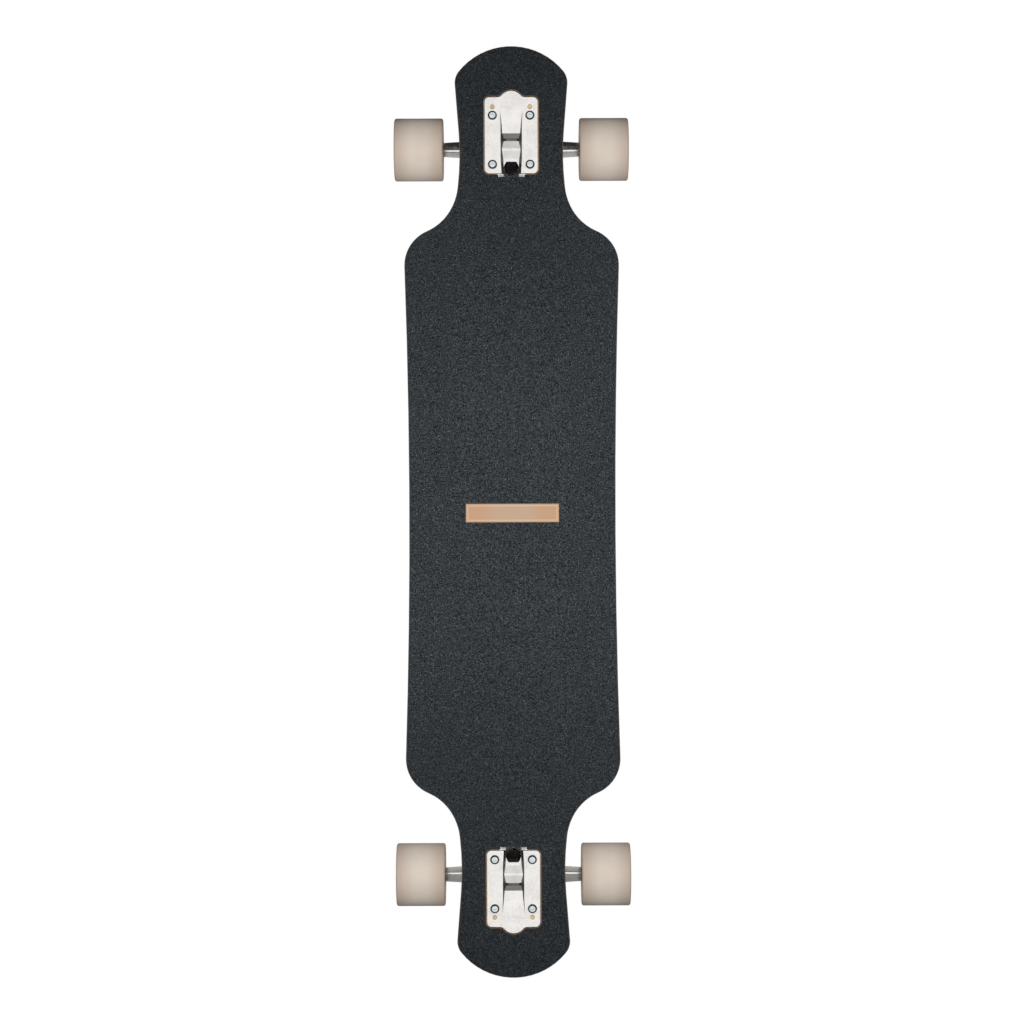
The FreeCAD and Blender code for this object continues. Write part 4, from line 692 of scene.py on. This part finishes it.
low, high = BOARDSIDE
barrel = turned_bushing([
    (BUSHING_BORE, low),
    (BUSHING_RADIUS - BUSHING_BEVEL, low),
    (BUSHING_RADIUS, low + BUSHING_BEVEL),
    (BUSHING_RADIUS, high - BOARDSIDE_SHOULDER),
    (BUSHING_RADIUS - BUSHING_BEVEL, high),
    (BUSHING_BORE, high),
    (BUSHING_BORE, low),
])
high, low = ROADSIDE
cone = turned_bushing([
    (BUSHING_BORE, high),
    (BUSHING_RADIUS - BUSHING_BEVEL, high),
    (BUSHING_RADIUS, high - BUSHING_BEVEL),
    (BUSHING_RADIUS, high - 2 * BUSHING_BEVEL),
    (BUSHING_RADIUS - ROADSIDE_TAPER, low),
    (BUSHING_BORE, low),
    (BUSHING_BORE, high),
])
for end, sign in ENDS.items():
    for kind, model in (("boardside", barrel), ("roadside", cone)):
        bushing = set_in(f"{end}_{kind}_flexing_bushing", model, soft_black, on_kingpin(sign, 0))
        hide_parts(f"{end}_{kind}_bushing")
        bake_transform(bushing)
bpy.data.objects.remove(barrel)
bpy.data.objects.remove(cone)

# Axles, spacers and bearings: ground and hardened steel, pressed together inside each wheel.
# Rings and balls are polished, and the pressed shields are a duller grey.
# The axle's threaded ends stand out of their lock nuts.

HANDS = ("left", "right")
AXLE_HALF_GAUGE = 0.1034
AXLE_STATION = 0.4064
AXLE_HEIGHT = 0.035
AXLE_RADIUS = 0.00397
AXLE_PITCH = 0.00075
AXLE_END = 0.124
AXLE_NUT_END = 0.12266
AXLE_RING_BORE = 0.00405
AXLE_RING_RADIUS = 0.005
GROUND_PALE = (0.62, 0.62, 0.63, 1)
GROUND_DARK = (0.38, 0.38, 0.39, 1)
SHIELD_PALE = (0.36, 0.36, 0.37, 1)
SHIELD_DARK = (0.2, 0.2, 0.21, 1)
STAIN_RANGE = (0.35, 0.75)
STEEL_LINE_PITCH = 0.00035

from_hub, given, result = new_group(
    "distance from the wheel's centre",
    [("Place", "Vector")],
    [("Radius", "Float"), ("Across", "Float")],
)
folded = add(from_hub, "VectorMath", {0: given["Place"]}, operation="ABSOLUTE")
hub_centre = (AXLE_HALF_GAUGE, AXLE_STATION, AXLE_HEIGHT)
hub_across, hub_along, hub_up = axes(
    from_hub, add(from_hub, "VectorMath", {0: folded, 1: hub_centre}, operation="SUBTRACT")
)
along_squared = calc(from_hub, "MULTIPLY", hub_along, hub_along)
up_squared = calc(from_hub, "MULTIPLY", hub_up, hub_up)
hub_radius = calc(from_hub, "SQRT", calc(from_hub, "ADD", along_squared, up_squared))
set_inputs(result, {"Radius": hub_radius, "Across": hub_across})


def turned_lines(tree, hub, pitch):
    """Fine lathe lines round the axle, broken up by noise."""
    steps = add(tree, "CombineXYZ", {
        "X": calc(tree, "MULTIPLY", hub["Radius"], 1 / pitch),
        "Y": calc(tree, "MULTIPLY", hub["Across"], 1 / pitch),
    })
    return noise(tree, steps, scale=1, detail=3)


def turned_steel(name, pale, dark, low, high):
    """Steel with fine turning lines and a little staining."""
    steel, tree, shader, place = new_finish(name, 0.3, 1.0)
    hub = use_group(tree, from_hub, {"Place": place})
    lines = turned_lines(tree, hub, STEEL_LINE_PITCH)
    stain = ramp(tree, noise(tree, place, scale=260, detail=4), *STAIN_RANGE)
    set_inputs(shader, {
        "Base Color": blend_colours(tree, stain, pale, dark),
        "Roughness": roughness_of(tree, place, 800, low, high),
        "Normal": bump_of(tree, lines, depth=0.00003),
    })
    return steel


ground_steel = turned_steel("ground steel", GROUND_PALE, GROUND_DARK, low=0.18, high=0.36)
shield_steel = turned_steel("pressed shield steel", SHIELD_PALE, SHIELD_DARK, low=0.3, high=0.5)
for end in ENDS:
    dress(ground_steel, f"{end}_axle", f"{end}_bearing_spacers", f"{end}_bearing_inner_rings")
    for hand in HANDS:
        dress(ground_steel, f"{end}_{hand}_bearing_outer_rings", f"{end}_{hand}_bearing_balls")
        dress(shield_steel, f"{end}_{hand}_bearing_shields")


def on_axle(sign, out):
    """The places and turns of something at both ends of an axle, pointing outward."""
    spots = []
    for side in (1, -1):
        spots.append(((side * out, sign * AXLE_STATION, AXLE_HEIGHT), (0, side * math.pi / 2, 0)))
    return spots


axle_thread = wound_thread(AXLE_RADIUS, AXLE_PITCH, AXLE_END - AXLE_NUT_END)
axle_ring = nylon_ring(AXLE_RING_BORE, AXLE_RING_RADIUS)
axle_ring_out = AXLE_NUT_END + RING_PROUD - RING_HEIGHT
for end, sign in ENDS.items():
    threads = set_in(f"{end}_axle_threads", axle_thread, ground_steel, on_axle(sign, AXLE_NUT_END))
    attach(threads, f"{end}_hanger_body")
    rings = set_in(f"{end}_axle_nylon", axle_ring, nylon, on_axle(sign, axle_ring_out))
    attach(rings, f"{end}_hanger_body")
bpy.data.objects.remove(axle_thread)
bpy.data.objects.remove(axle_ring)

# Wheels: greige urethane cast round a hard core, then turned on a lathe to a satin tread.
# Each spins on two bearings pushed into the core. Road dust sits in the tread's scuffs,
# and the urethane is painted darker toward its lips, a painted shade where the tread curves away.

URETHANE = (0.61, 0.535, 0.465, 1)
URETHANE_SHADE = (0.575, 0.50, 0.43, 1)
MOTTLE_RANGE = (0.35, 0.7)
URETHANE_PAINTED_SHADE = (0.44, 0.355, 0.29, 1)
LIP_REACH = (0.005, 0.029)
ROAD_DUST = (0.42, 0.37, 0.32, 1)
SCUFF_RANGE = (0.6, 0.85)
SCUFF_SHARE = 0.3
TREAD_RADIUS = 0.035
TREAD_BLEND = 0.002
TREAD_LINE_PITCH = 0.0006
CORE_WHITE = (0.66, 0.62, 0.57, 1)
CORE_SHADE = (0.52, 0.48, 0.44, 1)

urethane, tree, shader, place = new_finish("satin urethane", 0.5)
hub = use_group(tree, from_hub, {"Place": place})
lathe = turned_lines(tree, hub, TREAD_LINE_PITCH)
mottle = ramp(tree, noise(tree, place, scale=45, detail=4), *MOTTLE_RANGE)
on_tread = ramp(tree, hub["Radius"], TREAD_RADIUS - TREAD_BLEND, TREAD_RADIUS)
scuffs = noise(tree, place, scale=420, detail=6, roughness=0.7)
scuffed = ramp(tree, scuffs, *SCUFF_RANGE, last=SCUFF_SHARE)
# painted shade: the tyre darkens toward both lips
lip_painted_shade = ramp(tree, calc(tree, "ABSOLUTE", hub["Across"]), *LIP_REACH, kind="SMOOTHSTEP")
cast_colour = blend_colours(tree, mottle, URETHANE, URETHANE_SHADE)
cast_colour = blend_colours(tree, lip_painted_shade, cast_colour, URETHANE_PAINTED_SHADE)
set_inputs(shader, {
    "Base Color": blend_colours(tree, calc(tree, "MULTIPLY", scuffed, on_tread), cast_colour, ROAD_DUST),
    "Roughness": roughness_of(tree, place, scale=240, low=0.42, high=0.6),
    "Normal": bump_of(tree, scuffs, depth=0.00004, normal=bump_of(tree, lathe, depth=0.00005)),
})

core_plastic, tree, shader, place = new_finish("moulded core", 0.45)
moulding = noise(tree, place, scale=700, detail=3)
tint = noise(tree, place, scale=80, detail=3)
set_inputs(shader, {
    "Base Color": blend_colours(tree, tint, CORE_WHITE, CORE_SHADE),
    "Roughness": roughness_of(tree, place, scale=350, low=0.38, high=0.55),
    "Normal": bump_of(tree, moulding, depth=0.00005),
})
for end in ENDS:
    for hand in HANDS:
        dress(urethane, f"{end}_{hand}_tyre")
        dress(core_plastic, f"{end}_{hand}_core")

# Studio: a white floor that keeps the board's soft shadow, one softbox over the board,
# and an even white surround. The floor fades out round each wheel, because a wheel of
# a leaning truck dips below it.

FLOOR_SIZE = 40
FLOOR_SHADOW = 0.14
FLOOR_GLOW = 0.93
FLOOR_BOUNCE = 0.45
OPENING_REACH = (0.1, 0.17)
SURROUND_LEVEL = 0.16
SOFTBOX_HEIGHT = 1.9
SOFTBOX_WIDTH = 0.5
SOFTBOX_LENGTH = 0.8
SOFTBOX_POWER = 36


def plain_grey(level):
    """A grey as a colour."""
    return (level, level, level, 1)


def bare_material(name):
    """A material whose look is not yet set, with its nodes and its surface socket's node."""
    material = bpy.data.materials.new(name)
    material.use_nodes = True
    tree = material.node_tree
    tree.nodes.remove(tree.nodes["Principled BSDF"])
    return material, tree, tree.nodes["Material Output"]


def seen_plainly(tree):
    """1 where the camera, a mirror or a window looks at it, and 0 where it only gives light."""
    rays = tree.nodes.new("ShaderNodeLightPath").outputs
    mirror = calc(tree, "MAXIMUM", rays["Is Glossy Ray"], rays["Is Transmission Ray"])
    return calc(tree, "MAXIMUM", rays["Is Camera Ray"], mirror)


clear_selection()
bpy.ops.mesh.primitive_plane_add(size=FLOOR_SIZE, location=(0, 0, 0))
floor = bpy.context.object
floor.name = "studio_floor"
floor_white, tree, surface = bare_material("white floor")
shadowed = add(tree, "BsdfDiffuse", {"Color": plain_grey(FLOOR_SHADOW)})
glow = add(tree, "Emission", {"Color": plain_grey(1), "Strength": FLOOR_GLOW})
lit = add(tree, "AddShader", {0: shadowed, 1: glow})
bounce = add(tree, "BsdfDiffuse", {"Color": plain_grey(FLOOR_BOUNCE)})
white = add(tree, "MixShader", {0: seen_plainly(tree), 1: bounce, 2: lit})
floor_place = tree.nodes.new("ShaderNodeTexCoord").outputs["Object"]
folded = add(tree, "VectorMath", {0: floor_place}, operation="ABSOLUTE")
from_wheel = tree.nodes.new("ShaderNodeVectorMath")
from_wheel.operation = "DISTANCE"
set_inputs(from_wheel, {0: folded, 1: (AXLE_HALF_GAUGE, AXLE_STATION, 0)})
opening = ramp(tree, from_wheel.outputs["Value"], *OPENING_REACH, first=1, last=0, kind="SMOOTHSTEP")
clear = add(tree, "BsdfTransparent", {})
set_inputs(surface, {"Surface": add(tree, "MixShader", {0: opening, 1: white, 2: clear})})
floor.data.materials.append(floor_white)

world = bpy.data.worlds.new("white surround")
bpy.context.scene.world = world
world.use_nodes = True
tree = world.node_tree
strength = ramp(tree, seen_plainly(tree), 0, 1, first=SURROUND_LEVEL, last=1)
set_inputs(tree.nodes["Background"], {"Color": plain_grey(1), "Strength": strength})

bpy.ops.object.light_add(type="AREA", location=(0, 0, SOFTBOX_HEIGHT))
softbox = bpy.context.object
softbox.name = "softbox"
softbox.data.shape = "RECTANGLE"
softbox.data.size = SOFTBOX_WIDTH
softbox.data.size_y = SOFTBOX_LENGTH
softbox.data.energy = SOFTBOX_POWER
softbox.visible_camera = False
softbox.visible_glossy = False

# Cards: dark and grey boards round the set, which only the metal and the gloss reflect, and a grey one on
# the floor under the board, a painted shadow there for the metal to reflect. The black one stands past the
# nose, as the dark flank of the front hanger shows.

CARD_LIFT = 0.002
CARD_REACH = 1.6
CARD_GREYS = {"nose": 0.025, "tail": 0.25, "left": 0.12, "right": 0.12}
CARD_TURNS = {"nose": 0, "tail": 180, "left": 90, "right": -90}
CARD_STARTS = {"nose": 0.44, "tail": 0.44, "left": 0.5, "right": 0.5}
CARD_HEIGHTS = {"nose": 1.9, "tail": 2.0, "left": 1.0, "right": 1.0}
UNDER_WIDTH = 0.9
UNDER_LENGTH = 0.78
UNDER_SHADOW_GREY = 0.4


def flat_card(name, middle, width, length):
    """A card lying just off the floor, its middle so far along the board."""
    clear_selection()
    bpy.ops.mesh.primitive_plane_add(size=1, location=(0, middle, CARD_LIFT))
    card = bpy.context.object
    card.name = name
    card.scale = (width, length, 1)
    bpy.ops.object.transform_apply(location=True, rotation=False, scale=True)
    return card


def bend_up(card, middle, rise):
    """Adds a wall at the card's far edge."""
    bpy.ops.object.mode_set(mode="EDIT")
    bpy.ops.mesh.select_all(action="DESELECT")
    bpy.ops.object.mode_set(mode="OBJECT")
    for edge in card.data.edges:
        edge.select = all(card.data.vertices[i].co.y > middle for i in edge.vertices)
    bpy.ops.object.mode_set(mode="EDIT")
    bpy.ops.mesh.select_mode(type="EDGE")
    bpy.ops.mesh.extrude_edges_move(TRANSFORM_OT_translate={"value": (0, 0, rise)})
    bpy.ops.object.mode_set(mode="OBJECT")


def cover_with_paper(card, level):
    """A plain tone that only the metal and the gloss reflect."""
    paper, tree, surface = bare_material(card.name)
    set_inputs(surface, {"Surface": add(tree, "Emission", {"Color": plain_grey(level), "Strength": 1})})
    card.data.materials.append(paper)
    card.visible_camera = False
    card.visible_diffuse = False
    card.visible_transmission = False
    card.visible_shadow = False


for side, level in CARD_GREYS.items():
    start = CARD_STARTS[side]
    middle = (start + CARD_REACH) / 2
    card = flat_card(f"card_{side}", middle, 2 * CARD_REACH, CARD_REACH - start)
    bend_up(card, middle, CARD_HEIGHTS[side])
    card.rotation_euler.z = math.radians(CARD_TURNS[side])
    bpy.ops.object.transform_apply(location=False, rotation=True, scale=False)
    cover_with_paper(card, level)
# painted shadow: a grey card under the board, seen only in reflections
cover_with_paper(flat_card("card_under_shadow", 0, UNDER_WIDTH, UNDER_LENGTH), UNDER_SHADOW_GREY)

# Camera: straight over the board at three metres, as the photograph was taken,
# and turned a fifth of a degree with it.

VIEW_DISTANCE = 3.0
VIEW_FIELD = 1.1264
VIEW_PLANE = 0.095
VIEW_TURN = -0.184
VIEW_SHIFT = -0.00044
SENSOR = 36

bpy.ops.object.camera_add(
    location=(VIEW_SHIFT, 0, VIEW_PLANE + VIEW_DISTANCE),
    rotation=(0, 0, math.radians(VIEW_TURN)),
)
camera = bpy.context.object
camera.data.sensor_width = SENSOR
camera.data.lens = SENSOR * VIEW_DISTANCE / VIEW_FIELD
bpy.context.scene.camera = camera
bpy.context.scene.view_settings.view_transform = "Standard"
